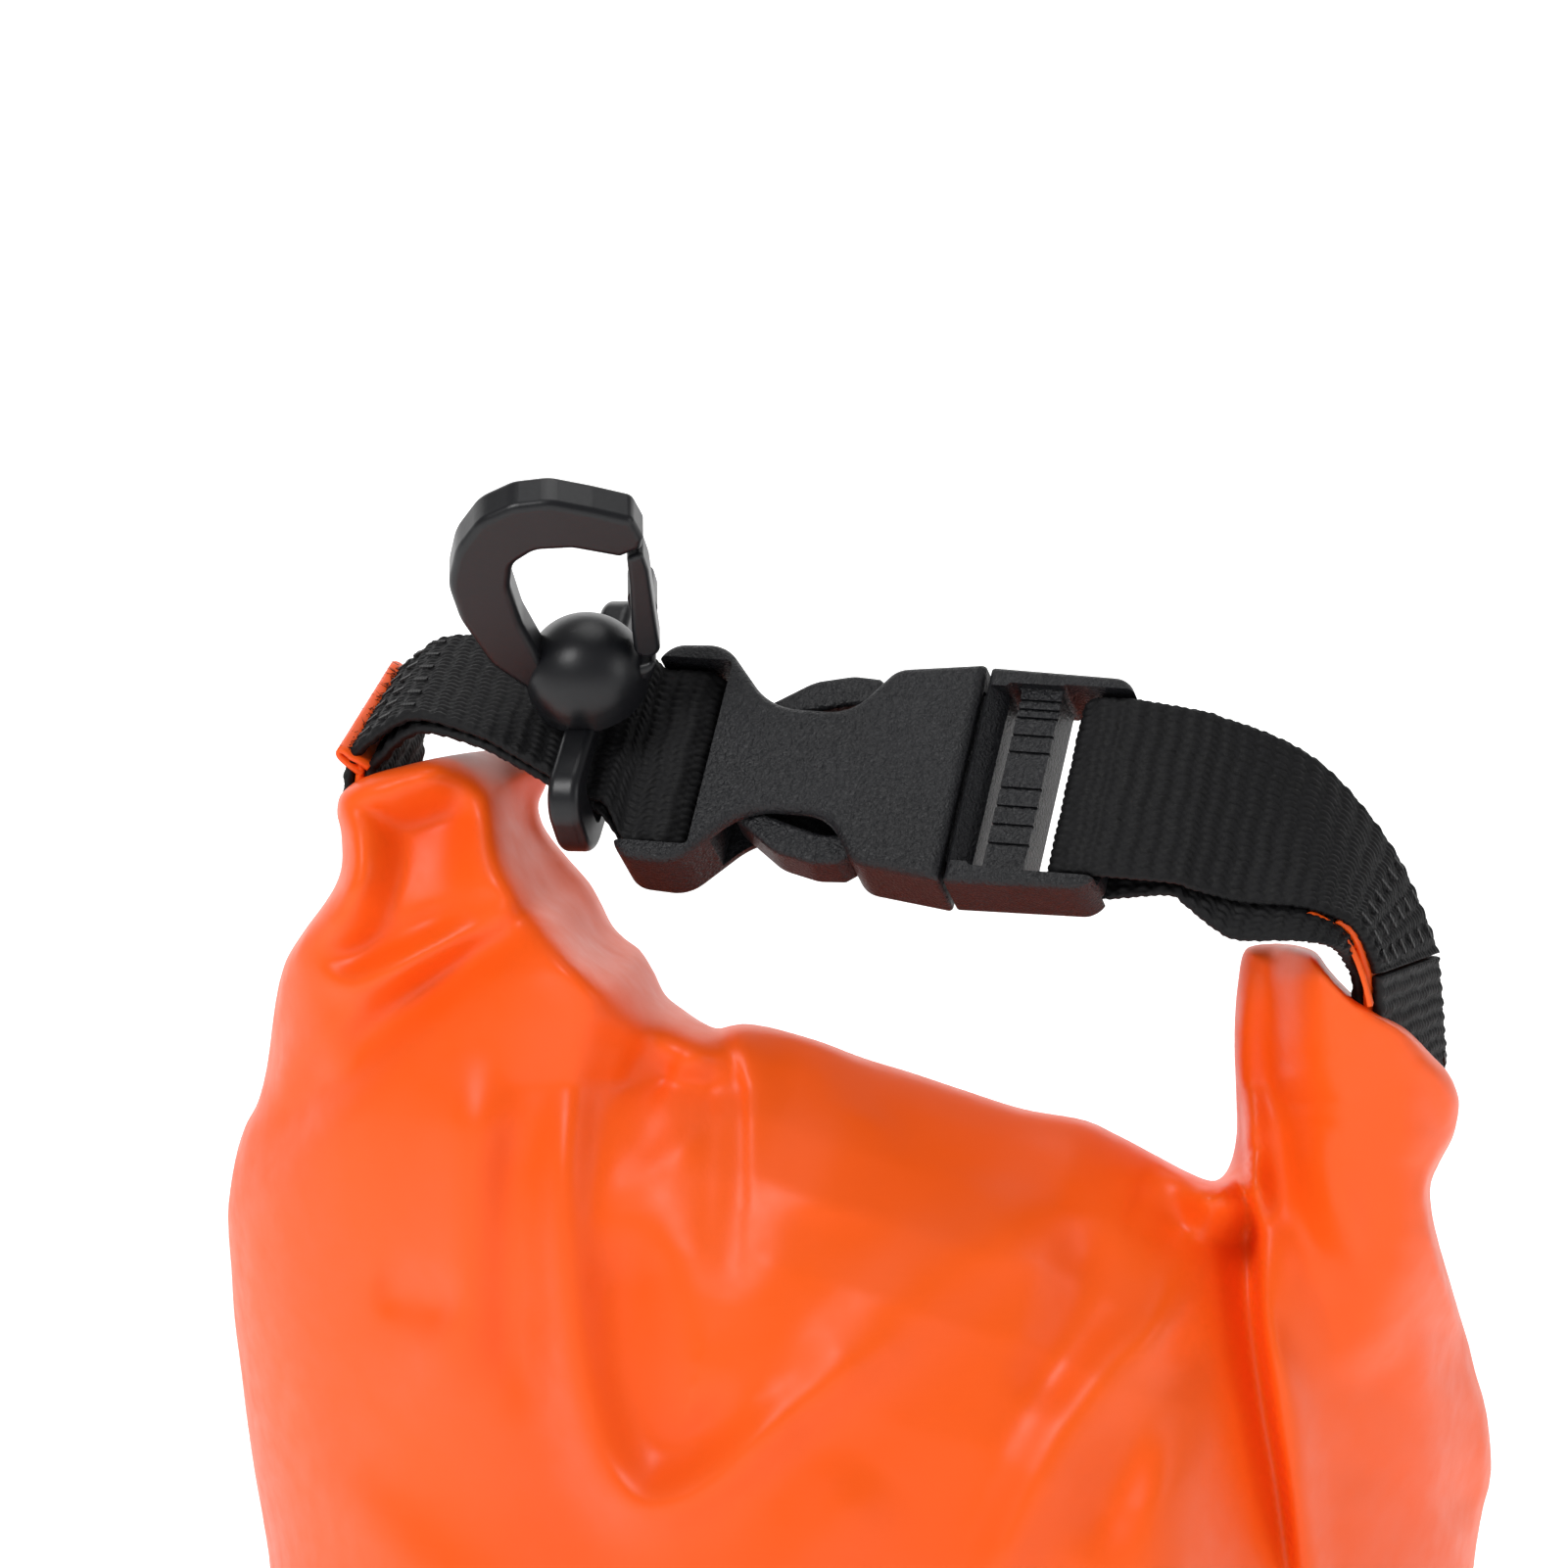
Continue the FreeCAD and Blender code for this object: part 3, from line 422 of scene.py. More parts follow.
def webbing(name, rows, dx=0.29, ny=108, relief=0.62, width=WW, thick=WT, x0=0.0, **kw):
    """A woven strap along rows of (point, width direction, face normal), closed all round."""
    dense = catmull(rows, 6)
    q, s = resample(dense, dx)
    p, w, n = q[:, :3], q[:, 3:6], q[:, 6:9]
    w = w / np.linalg.norm(w, axis=1)[:, None]
    n = n - w * np.sum(n * w, 1)[:, None]
    n = n / np.linalg.norm(n, axis=1)[:, None]
    y = np.linspace(-width / 2, width / 2, ny)
    S, Y = np.meshgrid(s + x0, y, indexing="ij")
    edge = np.clip((np.abs(Y) - (width / 2 - 0.8)) / 0.8, 0, 1)
    rnd = np.sqrt(np.clip(1 - edge ** 2, 0.02, 1))
    out = []
    for side in (1, -1):
        h = (thick / 2 - relief * 0.66 + relief * weave(S, Y, side)) * rnd
        wob = Y * (1 + 0.006 * np.sin(2 * math.pi * S / YARN / 1.1))
        out.append(p[:, None, :] + w[:, None, :] * wob[..., None] + n[:, None, :] * (h * side)[..., None])
    nr = len(s)
    verts = np.concatenate([out[0].reshape(-1, 3), out[1].reshape(-1, 3)])
    base = nr * ny
    faces = [grid_faces(nr, ny), grid_faces(nr, ny, base, flip=True)]
    i = np.arange(nr - 1)
    for c, fl in ((0, False), (ny - 1, True)):
        f = np.stack([i * ny + c, (i + 1) * ny + c, base + (i + 1) * ny + c, base + i * ny + c], 1)
        faces.append(f[:, ::-1] if fl else f)
    j = np.arange(ny - 1)
    for r, fl in ((0, True), (nr - 1, False)):
        f = np.stack([r * ny + j, r * ny + j + 1, base + r * ny + j + 1, base + r * ny + j], 1)
        faces.append(f[:, ::-1] if not fl else f)
    ob = mesh_object(name, verts, np.concatenate(faces), material=WEB, slot="webbing", **kw)
    normals_out(ob)
    return ob


def shift(rows, off):
    r = rows.copy()
    r[:, :3] += r[:, 6:9] * off
    return r


roll_rows = rows_of(ROLL)
# the left run of the band lies a little inside the corner of the skin
roll_rows[:, 0] += 3.4 * (roll_rows[:, 0] < 0) * smooth(281, 268, roll_rows[:, 2]) * smooth(222, 240, roll_rows[:, 2])
roll_rows[:, 0] -= 2.4 * (roll_rows[:, 0] > 0) * smooth(238, 229, roll_rows[:, 2]) * smooth(205, 216, roll_rows[:, 2])
roll_rows = with_normals(roll_rows[:, :3], roll_rows[:, 3:6])
left = webbing("left_strap_webbing", loop_rows(-1), body="bag", replaces=("left_strap",))
right = webbing("right_strap_webbing", loop_rows(1))
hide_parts("right_strap")
HEM_OFF = HT / 2 + 0.15 + WT / 2
outer_web = webbing("mouth_webbing_outer_weave", shift(roll_rows, HEM_OFF), dx=0.36, ny=96, body="bag",
                    replaces=("mouth_webbing_outer",))
inner_web = webbing("mouth_webbing_inner_weave", shift(roll_rows, -HEM_OFF), dx=0.36, ny=96, body="bag",
                    replaces=("mouth_webbing_inner",))
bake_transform(right)

# ------------------------------------------------------------------ bag: outline in the frame
SIL_L = [(275, 1597), (268, 1550), (260, 1505), (252, 1450), (246, 1401), (239, 1345), (236, 1298), (233, 1260), (233, 1229),
         (240, 1183), (250, 1150), (263, 1125), (272, 1090), (278, 1045), (282, 1018), (286, 999), (294, 976), (312, 948), (332, 921),
         (344, 900), (349, 880), (348, 850), (344, 832)]
TOP = [(345, 818), (350, 808), (362, 798), (380, 790), (410, 782), (444, 774), (480, 768), (514, 765), (538, 768), (556, 778), (562, 790),
       (556, 806), (550, 821), (553, 838), (562, 854), (580, 876), (602, 901), (614, 922), (625, 944), (638, 958), (654, 970), (668, 992),
       (680, 1016), (700, 1032), (718, 1044), (733, 1050), (745, 1047), (760, 1045), (778, 1047), (800, 1052), (840, 1064),
       (882, 1080), (928, 1094), (985, 1113), (1045, 1132), (1106, 1143), (1140, 1158), (1178, 1178), (1210, 1195), (1234, 1205),
       (1246, 1203), (1256, 1188), (1262, 1160), (1262, 1125), (1260, 1069), (1261, 1030), (1264, 1000), (1268, 976), (1276, 966),
       (1300, 963), (1325, 965), (1344, 972), (1356, 988), (1370, 1004), (1385, 1018), (1402, 1030), (1435, 1050), (1463, 1078),
       (1478, 1094), (1487, 1112)]
SIL_R = [(1490, 1130), (1484, 1160), (1470, 1187), (1461, 1209), (1462, 1236), (1469, 1268), (1480, 1305), (1490, 1339), (1500, 1372),
         (1507, 1401), (1515, 1428), (1520, 1455), (1523, 1492), (1521, 1516), (1515, 1538), (1509, 1570), (1505, 1600)]
Z0 = 128.0
RAD = 85.0
bl = proj(arr(-83.6, 0, Z0))
br = proj(arr(84.0, 0, Z0))
low_l = [tuple(bl), tuple(proj(arr(-83.0, 0, 138.0))), tuple(proj(arr(-82.0, 0, 147.0))), tuple(proj(arr(-80.8, 0, 155.0)))]
low_r = [tuple(proj(arr(83.2, 0, 152.0))), tuple(proj(arr(83.8, 0, 140.0))), tuple(br)]
line = low_l + SIL_L + TOP + SIL_R + low_r
O2, _ = resample(catmull(np.array(line, float), 6), 4.5)
n_out = len(O2)

bx = np.linspace(bl[0], br[0], 260)[1:-1]
bX = np.linspace(-83.6, 84.0, 260)[1:-1]
base_y = -np.sqrt(np.clip(RAD ** 2 - (bX / 84.0 * RAD) ** 2, 0, None))
B2 = proj(np.stack([bX, base_y, np.full_like(bX, Z0)], 1))     # front half ring, left to right
poly = np.concatenate([O2, B2[::-1]])


def inside(pt, pg):
    x, y = pt[:, 0], pt[:, 1]
    res = np.zeros(len(pt), bool)
    j = len(pg) - 1
    for i in range(len(pg)):
        xi, yi, xj, yj = pg[i, 0], pg[i, 1], pg[j, 0], pg[j, 1]
        if yi != yj:
            c = ((yi > y) != (yj > y)) & (x < (xj - xi) * (y - yi) / (yj - yi) + xi)
            res ^= c
        j = i
    return res


def near(pt, line_):
    """Distance to an open line, the nearest point on it and its place along the line (0..n)."""
    a, b = line_[:-1], line_[1:]
    ab = b - a
    L2 = np.sum(ab ** 2, 1)
    best = np.full(len(pt), 1e18)
    foot = np.zeros((len(pt), line_.shape[1]))
    idx = np.zeros(len(pt))
    for k in range(0, len(pt), 4000):
        q = pt[k:k + 4000]
        t = np.clip(np.einsum("ijk,jk->ij", q[:, None, :] - a[None], ab) / L2, 0, 1)
        f = a[None] + ab[None] * t[..., None]
        d = np.sum((q[:, None, :] - f) ** 2, 2)
        m = np.argmin(d, 1)
        r = np.arange(len(q))
        best[k:k + 4000] = np.sqrt(d[r, m])
        foot[k:k + 4000] = f[r, m]
        idx[k:k + 4000] = m + t[r, m]
    return best, foot, idx


# depth of the outline, left side, crest and right side
def y_left(z):
    return soft_table(z, [(128, 0), (150, 0), (175, -3), (200, -12), (225, -24), (250, -33), (275, -38), (300, -38)], 6)


def y_right(z):
    return soft_table(z, [(128, 0), (150, 0), (172, -6), (195, -24), (215, -44), (232, -58), (252, -69), (300, -71)], 6)


def outline_depth(pts):
    """Depth of points on the outline, by their place in the frame."""
    x, y = pts[:, 0], pts[:, 1]
    z = 268.0 - (y - 800.5) / 7.56
    yl, yr = y_left(z), y_right(z)
    wl = 1 - smooth(600, 760, x)
    wr = smooth(1235, 1262, x)
    return yl * wl + yr * wr + (1 - wl - wr) * (-57.0)


# pressure field: squared depth in front of the outline's surface
STEP = 8.0
gx = np.arange(200, 1570, STEP)
gy = np.arange(730, 2150, STEP)
GX, GY = np.meshgrid(gx, gy)
flat = np.stack([GX.ravel(), GY.ravel()], 1)
mask = inside(flat, poly).reshape(GX.shape)
below = (GY > 1750) & ~mask & (GX > bl[0]) & (GX < br[0])
cyl = np.clip(RAD ** 2 - ((GX - 800.5) * 0.1285 - 10.3) ** 2, 0, None)
W = np.where(mask, cyl * 0.5, 0.0)
W[below] = cyl[below]
src = 2.0 * (STEP * 0.130) ** 2
fixed_low = below
for _ in range(3600):
    Wn = 0.25 * (np.roll(W, 1, 0) + np.roll(W, -1, 0) + np.roll(W, 1, 1) + np.roll(W, -1, 1) + src * 1.35)
    W = np.where(mask, Wn, np.where(fixed_low, cyl, 0.0))


def sample(F, pts):
    u = np.clip((pts[:, 0] - gx[0]) / STEP, 0, len(gx) - 1.001)
    v = np.clip((pts[:, 1] - gy[0]) / STEP, 0, len(gy) - 1.001)
    i, j = u.astype(int), v.astype(int)
    fu, fv = u - i, v - j
    return (F[j, i] * (1 - fu) * (1 - fv) + F[j, i + 1] * fu * (1 - fv) + F[j + 1, i] * (1 - fu) * fv + F[j + 1, i + 1] * fu * fv)


EDGE = 16.0


def depth_front(pts, dist, foot):
    """How far the front stands before the outline's surface (mm)."""
    n = pts - foot
    ln = np.maximum(np.linalg.norm(n, axis=1), 1e-6)
    pushed = np.where((dist < EDGE)[:, None], foot + n / ln[:, None] * EDGE, pts)
    w = sample(W, pushed)
    w = np.where(dist < EDGE, w * dist / EDGE, w)
    return np.sqrt(np.clip(w, 0, None))


# ------------------------------------------------------------------ folds, as lines in the frame: (points, height mm, width px, one-sided)
FOLDS = [
    ([(245, 1220), (285, 1160), (330, 1100), (430, 1010), (540, 930), (600, 880)], -4.6, 26, 0),
    ([(262, 1150), (300, 1085), (350, 1045), (420, 985), (500, 935)], 1.6, 16, 0),
    ([(298, 993), (355, 1005), (390, 993), (440, 972), (499, 947), (522, 924), (510, 901)], 2.6, 15, 0),
    ([(315, 965), (360, 972), (420, 955), (470, 925)], -1.6, 14, 0),
    ([(476, 1068), (482, 1160), (482, 1275), (470, 1321), (453, 1390), (401, 1447)], 3.2, 40, 0),
    ([(378, 1318), (420, 1322), (470, 1335)], -2.2, 24, 0),
    ([(597, 1022), (585, 1114), (574, 1217), (579, 1332), (597, 1436), (620, 1505), (660, 1539), (717, 1516), (803, 1447), (900, 1378)], 3.6, 24, 0),
    ([(640, 1240), (648, 1340), (665, 1440), (700, 1478), (760, 1420)], -2.8, 34, 0),
    ([(530, 1120), (520, 1230), (525, 1350), (545, 1460)], -2.0, 26, 0),
    ([(637, 1075), (660, 1085), (690, 1100)], -1.4, 30, 0),
    ([(640, 1040), (640, 1110), (690, 1180)], -1.3, 55, 0),
    ([(729, 1052), (700, 1090), (690, 1150), (720, 1190)], 0.8, 20, 0),
    ([(1086, 1217), (1030, 1257), (963, 1298), (877, 1375), (800, 1421)], 2.8, 42, 0),
    ([(1106, 1240), (1112, 1300), (1096, 1370), (1040, 1440)], -1.7, 30, 0),
    ([(1244, 1212), (1234, 1258), (1193, 1349), (1137, 1395), (1076, 1487), (1020, 1600), (985, 1690)], 3.6, 28, 0),
    ([(1150, 1222), (1185, 1238), (1215, 1262)], -1.5, 24, 0),
    ([(1235, 1330), (1200, 1420), (1150, 1500), (1110, 1600)], -2.2, 30, 0),
    ([(1290, 1334), (1321, 1436), (1331, 1513), (1341, 1600), (1350, 1680)], 2.2, 13, 0),
    ([(1316, 1028), (1331, 1104), (1352, 1186), (1387, 1257), (1438, 1334), (1479, 1411), (1505, 1462)], 4.2, 32, 0),
    ([(1290, 1000), (1296, 1080), (1305, 1160), (1330, 1250), (1370, 1330), (1400, 1420)], -2.2, 22, 0),
    ([(1470, 1360), (1495, 1430), (1500, 1500), (1490, 1570)], -4.6, 20, 0),
    ([(1400, 1080), (1420, 1150), (1440, 1210), (1462, 1260)], -2.2, 24, 0),
    ([(470, 775), (495, 830), (500, 885), (530, 935), (580, 985), (600, 1030)], 3.0, 22, 0),
    ([(528, 790), (545, 850), (560, 900), (600, 950), (640, 1000)], -4.5, 22, 0),
    ([(400, 800), (385, 860), (350, 930)], 1.6, 30, 0),
    ([(900, 1120), (860, 1180), (840, 1260)], 1.2, 40, 0),
    ([(820, 1060), (800, 1130), (760, 1230), (740, 1330)], -1.6, 34, 0),
    ([(330, 1500), (380, 1560), (460, 1640), (560, 1720)], 1.8, 34, 0),
    ([(900, 1500), (820, 1600), (760, 1720)], 1.8, 40, 0),
    ([(1400, 1500), (1380, 1600), (1390, 1720)], 1.6, 30, 0),
]
STEP_LINE = np.array([(1258, 1100), (1263, 1140), (1266, 1171), (1272, 1215), (1278, 1258), (1280, 1334), (1293, 1436), (1306, 1513), (1316, 1600), (1322, 1690)], float)


def folds(pts):
    out = np.zeros(len(pts))
    for line_, h, wpx, _ in FOLDS:
        ln, _q = resample(catmull(np.array(line_, float), 4), 12)
        d, _f, idx = near(pts, ln)
        u = idx / (len(ln) - 1)
        taper = smooth(-0.02, 0.22, u) * (1 - smooth(0.78, 1.02, u))
        taper = 0.12 + 0.88 * taper
        ww = wpx * (0.8 + 0.4 * np.sin(u * 3.1))
        out += h * taper * np.exp(-(d / ww) ** 2 * 0.9)
    # the right corner's inner edge lies over the front as a soft step
    ln, _q = resample(catmull(STEP_LINE, 4), 10)
    d, f, idx = near(pts, ln)
    t = ln[np.minimum(idx.astype(int) + 1, len(ln) - 1)] - ln[idx.astype(int)]
    side = np.sign((pts[:, 0] - f[:, 0]) * t[:, 1] - (pts[:, 1] - f[:, 1]) * t[:, 0])   # + to the right of it
    u = idx / (len(ln) - 1)
    k = smooth(0.0, 0.10, u) * (1 - smooth(0.7, 1.0, u))
    right_side = 5.2 * np.exp(-(d / 60.0) ** 2) * smooth(0, 9, d)
    left_side = -3.0 * np.exp(-(d / 26.0) ** 2)
    out += k * np.where(side > 0, right_side - 3.0 * (1 - smooth(0, 9, d)), left_side)
    return out


def wobble(p):
    """Slow unevenness of the filled body, from its place (mm)."""
    x, y, z = p[:, 0] / 85, p[:, 1] / 85, p[:, 2] / 85
    return (0.8 * np.sin(3.1 * x + 1.7 * z + 0.4) * np.cos(2.3 * y - 1.1 * z) + 0.6 * np.sin(5.3 * y + 2.1 * z + 1.0) * np.cos(3.7 * x + 0.6)
            + 0.25 * np.sin(7.9 * z + 4.1 * x - 2.2 * y))


# ------------------------------------------------------------------ front and back skins
def ring_points(base, offsets, sign=1.0):
    t = np.gradient(base, axis=0)
    nrm = np.stack([-t[:, 1], t[:, 0]], 1)
    nrm /= np.linalg.norm(nrm, axis=1)[:, None]
    if not inside((base + nrm * 3.0)[len(base) // 2:len(base) // 2 + 1], poly)[0]:
        nrm = -nrm
    return [(o, base + nrm * o) for o in offsets], nrm


offs, _n = ring_points(O2, (0.8, 2.4, 4.8, 8.0, 12.0))
pts_list = [O2]
for o, q in offs:
    q = q[inside(q, poly)]
    d, _f, _i = near(q, O2)
    q = q[d > o * 0.93]
    q = q[q[:, 1] < B2[:, 1].max() + 5]
    pts_list.append(q[:: 1 if o < 6 else 1])
G = 6.5
ax, ay = np.meshgrid(np.arange(205, 1560, G), np.arange(735, 2130, G * 0.92))
ax[1::2] += G / 2
gpts = np.stack([ax.ravel(), ay.ravel()], 1)
gpts = gpts[inside(gpts, poly)]
dg, _f, _i = near(gpts, O2)
db, _f, _i = near(gpts, B2)
gpts = gpts[(dg > 15.0) & (db > 4.0)]
pts_list += [B2, gpts]
P2 = np.concatenate(pts_list)


def triangulate(P, loop_len_a, second, second_len):
    """Triangles of the points inside the closed outline made of the first loop_len_a points and the second run."""
    loop = list(range(loop_len_a)) + list(range(second + second_len - 1, second - 1, -1))
    edges = [(loop[i], loop[(i + 1) % len(loop)]) for i in range(len(loop))]
    vs, _e, fs, ov, _oe, _of = delaunay_2d_cdt([Vector((float(x), float(y))) for x, y in P], edges, [], 0, 1e-5)
    vs = np.array([(v.x, v.y) for v in vs])
    tri = np.array([f for f in fs if len(f) == 3])
    cen = vs[tri].mean(1)
    tri = tri[inside(cen, P[loop])]
    first = [o[0] if len(o) else -1 for o in ov]
    back = np.full(len(P), -1)
    for i, o in enumerate(ov):
        for q in o:
            back[q] = i
    return vs, tri, back


b_start = n_out + sum(len(q) for q in pts_list[1:-2])
F2, Ftri, Fmap = triangulate(P2, n_out, b_start, len(B2))
dist, foot, idx = near(F2, O2)
y_out = outline_depth(O2)
open_l = 13.6 * (1 - smooth(900, 1040, O2[:, 1])) * (1 - smooth(430, 520, O2[:, 0]))
open_r = 14.2 * (1 - smooth(1130, 1290, O2[:, 1])) * smooth(1365, 1405, O2[:, 0])
gap = open_l + open_r
y_front = y_out - gap
y_back = y_out + gap
# target profile of the front down its middle
cz = np.linspace(150, 246, 60)
mid_px = proj(np.stack([np.full(60, 5.0), np.full(60, -70.0), cz], 1))
dm, fm, im = near(mid_px, O2)
d_mid = depth_front(mid_px, dm, fm)
target = soft_table(cz, [(150, -85), (172, -85), (190, -83.5), (205, -80), (217, -75), (227, -68.5), (234, -62), (238.5, -57), (250, -57)], 3)
mid_mid = np.where(cz < 237, target + d_mid, -57.0)
mid_mid = np.convolve(np.pad(mid_mid, 4, mode="edge"), np.ones(9) / 9, "valid")


def sheet_mid(pts):
    z = 268.0 - (pts[:, 1] - 800.5) / 7.7 + 1.5
    yl, yr = y_left(z), y_right(z)
    x = pts[:, 0]
    lo = smooth(1500, 1700, pts[:, 1])
    yc = np.interp(z, cz, mid_mid)
    wl = (1 - smooth(430, 720, x))
    wr = smooth(1190, 1400, x)
    return yl * wl + yr * wr + (1 - wl - wr) * yc


ym = sheet_mid(F2)
# exactly the outline's own depth where the skin meets it
yo = np.interp(idx, np.arange(n_out), y_front)
near_w = 1 - smooth(0, 70, dist)
ym = ym * (1 - near_w) + yo * near_w
df = depth_front(F2, dist, foot)
fade = smooth(0, 16, dist)
# in the middle the skin rolls over the crest and comes forward evenly
crest = np.interp(dist * 0.1305, *zip((0, 0), (0.25, 2.0), (0.6, 3.1), (1.2, 4.4), (2.4, 6.2), (4.5, 8.6), (7.5, 11.4), (12, 15.2), (20, 20.4), (30, 24.6), (45, 27.2), (62, 28.0), (200, 28.0)))
wc = smooth(600, 800, F2[:, 0]) * (1 - smooth(1165, 1290, F2[:, 0]))
F_y = (ym - df) * (1 - wc) + (yo * (1 - smooth(0, 300, dist)) - 57.0 * smooth(0, 300, dist) - crest) * wc - folds(F2) * fade
# the skin stays in front of the band's near edge
for part in (roll_rows[:15], roll_rows[-15:]):
    e3 = part[:, :3] - part[:, 3:6] * 13.2
    e2 = proj(e3)
    d_, _f, i_ = near(F2, e2)
    lim = np.interp(i_, np.arange(len(e2)), e3[:, 1]) - 2.4
    pen = F_y - (lim + 0.0032 * np.clip(d_ - 26, 0, None) ** 2)
    F_y = F_y - 0.5 * (pen + np.sqrt(pen ** 2 + 3.0)) * smooth(0, 5, dist)
F3 = unproj(F2[:, 0], F2[:, 1], F_y)
F3[:, :] += 0
wv = wobble(F3) * fade
F3[:, 1] -= wv
# the lowest ring is the body's circle
bidx = Fmap[b_start:b_start + len(B2)]
ringF = np.stack([bX, base_y, np.full_like(bX, Z0)], 1)
lowf = smooth(Z0 + 34, Z0, F3[:, 2])
cyl_y = -np.sqrt(np.clip(RAD ** 2 - (F3[:, 0] / 84.0 * RAD) ** 2, 0, None))
F3[:, 1] = F3[:, 1] * (1 - lowf) + (cyl_y - (folds(F2) + wv) * fade) * lowf
lowdisp = (folds(F2[bidx]) + wobble(ringF)) * fade[bidx]
F3[bidx, 0], F3[bidx, 2] = bX, Z0
F3[bidx, 1] = base_y - lowdisp

# back skin: a sheet over the same outline, seen square on
O3 = unproj(O2[:, 0], O2[:, 1], y_out)
OF = unproj(O2[:, 0], O2[:, 1], y_front)
OB = unproj(O2[:, 0], O2[:, 1], y_back)
for q_ in (O3, OF, OB):
    q_[0] = (-83.6, 0, Z0)
    q_[-1] = (84.0, 0, Z0)
F3[Fmap[:n_out]] = OF
OXZ = O3[:, [0, 2]]
BXZ = np.stack([bX, np.full_like(bX, Z0)], 1)
polyXZ = np.concatenate([OXZ, BXZ[::-1]])


def z_floor(x):
    return soft_table(x, [(-90, 236), (-60, 226), (-46, 216.5), (-25, 209.5), (0, 203.8), (25, 198.8), (45, 197.2), (58, 200), (68, 210), (90, 222)], 5)


def back_mid(x, z):
    zf = z_floor(x)
    zz = np.where(z < 165, z, 165 + (z - 165) * 40.0 / (zf - 165))
    return soft_table(zz, [(140, 85), (160, 85), (168, 83.5), (176, 78), (184, 68), (191, 54), (197, 37), (201.5, 18), (204, -2), (205.2, -24), (206.2, -50),
                           (209, -54), (225, -55), (260, -57)], 0.8)


def back_depth(q, dist_, yedge):
    x, z = q[:, 0], q[:, 1]
    xl = np.interp(z, np.r_[128, 150, 155, 165, 180, 200, 215, 232, 248, 258, 271, 283], [-83.6, -81.8, -80.8, -80.2, -80, -82.5, -84, -80, -75.5, -72, -68, -66])
    xr = np.interp(z, np.r_[128, 160, 180, 200, 215, 222, 232, 240, 252], [84, 83.2, 84, 82, 76, 74.5, 77, 76, 70])
    c, h = (xl + xr) / 2, (xr - xl) / 2
    xn = np.clip(np.abs(x - c) / h, 0, 1)
    side = y_left(z) * (x < 0) + y_right(z) * (x >= 0)
    side = y_left(z) + (y_right(z) - y_left(z)) * smooth(-60, 60, x)
    prof = np.sqrt(np.clip(1 - xn ** 2.1, 0, 1))
    dome = side * (1 - prof) + back_mid(x, z) * prof
    # above the floor the two corners are flat tubes round the ends of the roll
    earL = (1 - smooth(-52, -36, x))
    earR = smooth(52, 62, x)
    e = np.clip(dist_ / 10.0, 0, 1)
    tube = np.sqrt(np.clip(1 - (1 - e) ** 2, 0, 1))
    ear_y = yedge + tube * (15.5 * earL + 15.5 * earR + 2.5 * (1 - earL - earR))
    up = smooth(z_floor(x) - 4, z_floor(x) + 12, z)
    blend_ = np.maximum(earL, earR) * smooth(196, 226, z)
    base_ = dome * (1 - blend_) + ear_y * blend_
    k = 6.0
    mx = np.maximum(dome, ear_y) + 0.25 * k * np.clip(1 - np.abs(dome - ear_y) / k, 0, None) ** 2
    both = np.where(z > 196, mx * blend_ + base_ * (1 - blend_), base_)
    near_edge = np.sqrt(np.clip(1 - (1 - np.clip(dist_ / 9.0, 0, 1)) ** 2, 0, 1))
    return yedge * (1 - near_edge) + both * near_edge


offs, _n = ring_points(O2, (0.0,))
tq = np.gradient(OXZ, axis=0)
nq = np.stack([-tq[:, 1], tq[:, 0]], 1)
nq /= np.linalg.norm(nq, axis=1)[:, None]
if not inside((OXZ + nq * 0.4)[n_out // 2:n_out // 2 + 1], polyXZ)[0]:
    nq = -nq
lst = [OXZ]
for o in (0.10, 0.32, 0.7, 1.2, 1.9):
    q = OXZ + nq * o
    q = q[inside(q, polyXZ)]
    d, _f, _i = near(q, OXZ)
    lst.append(q[d > o * 0.93])
ax, ay = np.meshgrid(np.arange(-90, 92, 1.25), np.arange(Z0 + 1.0, 292, 1.15))
ax[1::2] += 0.6
g = np.stack([ax.ravel(), ay.ravel()], 1)
rows = []
for dz in np.arange(-9.0, 6.0, 0.3):
    xx = np.arange(-58, 66, 1.6) + (0.8 if int(round(dz / 0.3)) % 2 else 0)
    rows.append(np.stack([xx, z_floor(xx) + dz + 0.11], 1))
rows = np.concatenate(rows)
zf = z_floor(g[:, 0])
g = g[~((g[:, 1] > zf - 9.2) & (g[:, 1] < zf + 6.2) & (g[:, 0] > -58.5) & (g[:, 0] < 66.5))]
g = np.concatenate([g, rows])
g = g[inside(g, polyXZ)]
d, _f, _i = near(g, OXZ)
g = g[(d > 2.3) & (g[:, 1] > Z0 + 0.6)]
Q2 = np.concatenate(lst + [BXZ, g])
bs = sum(len(q) for q in lst)
K2, Ktri, Kmap = triangulate(Q2, n_out, bs, len(BXZ))
dK, fK, iK = near(K2, OXZ)
yK = np.interp(iK, np.arange(n_out), O3[:, 1])
K_y = back_depth(K2, dK, yK)
gapK = np.interp(iK, np.arange(n_out), gap)
K_y = np.maximum(K_y, yK + gapK * (1 - smooth(8, 24, dK)))
K3 = np.stack([K2[:, 0], K_y, K2[:, 1]], 1)
ray = (K3 - CAM)
f_ = smooth(205, 222, K3[:, 2])
dy = (K_y - yK) * f_
K3[:, 0] += ray[:, 0] / ray[:, 1] * dy
K3[:, 2] += ray[:, 2] / ray[:, 1] * dy
fadeK = smooth(0, 6, dK) * smooth(Z0, Z0 + 6, K3[:, 2])
K3[:, 1] += wobble(K3) * fadeK * (1 - smooth(196, 206, K3[:, 2]))
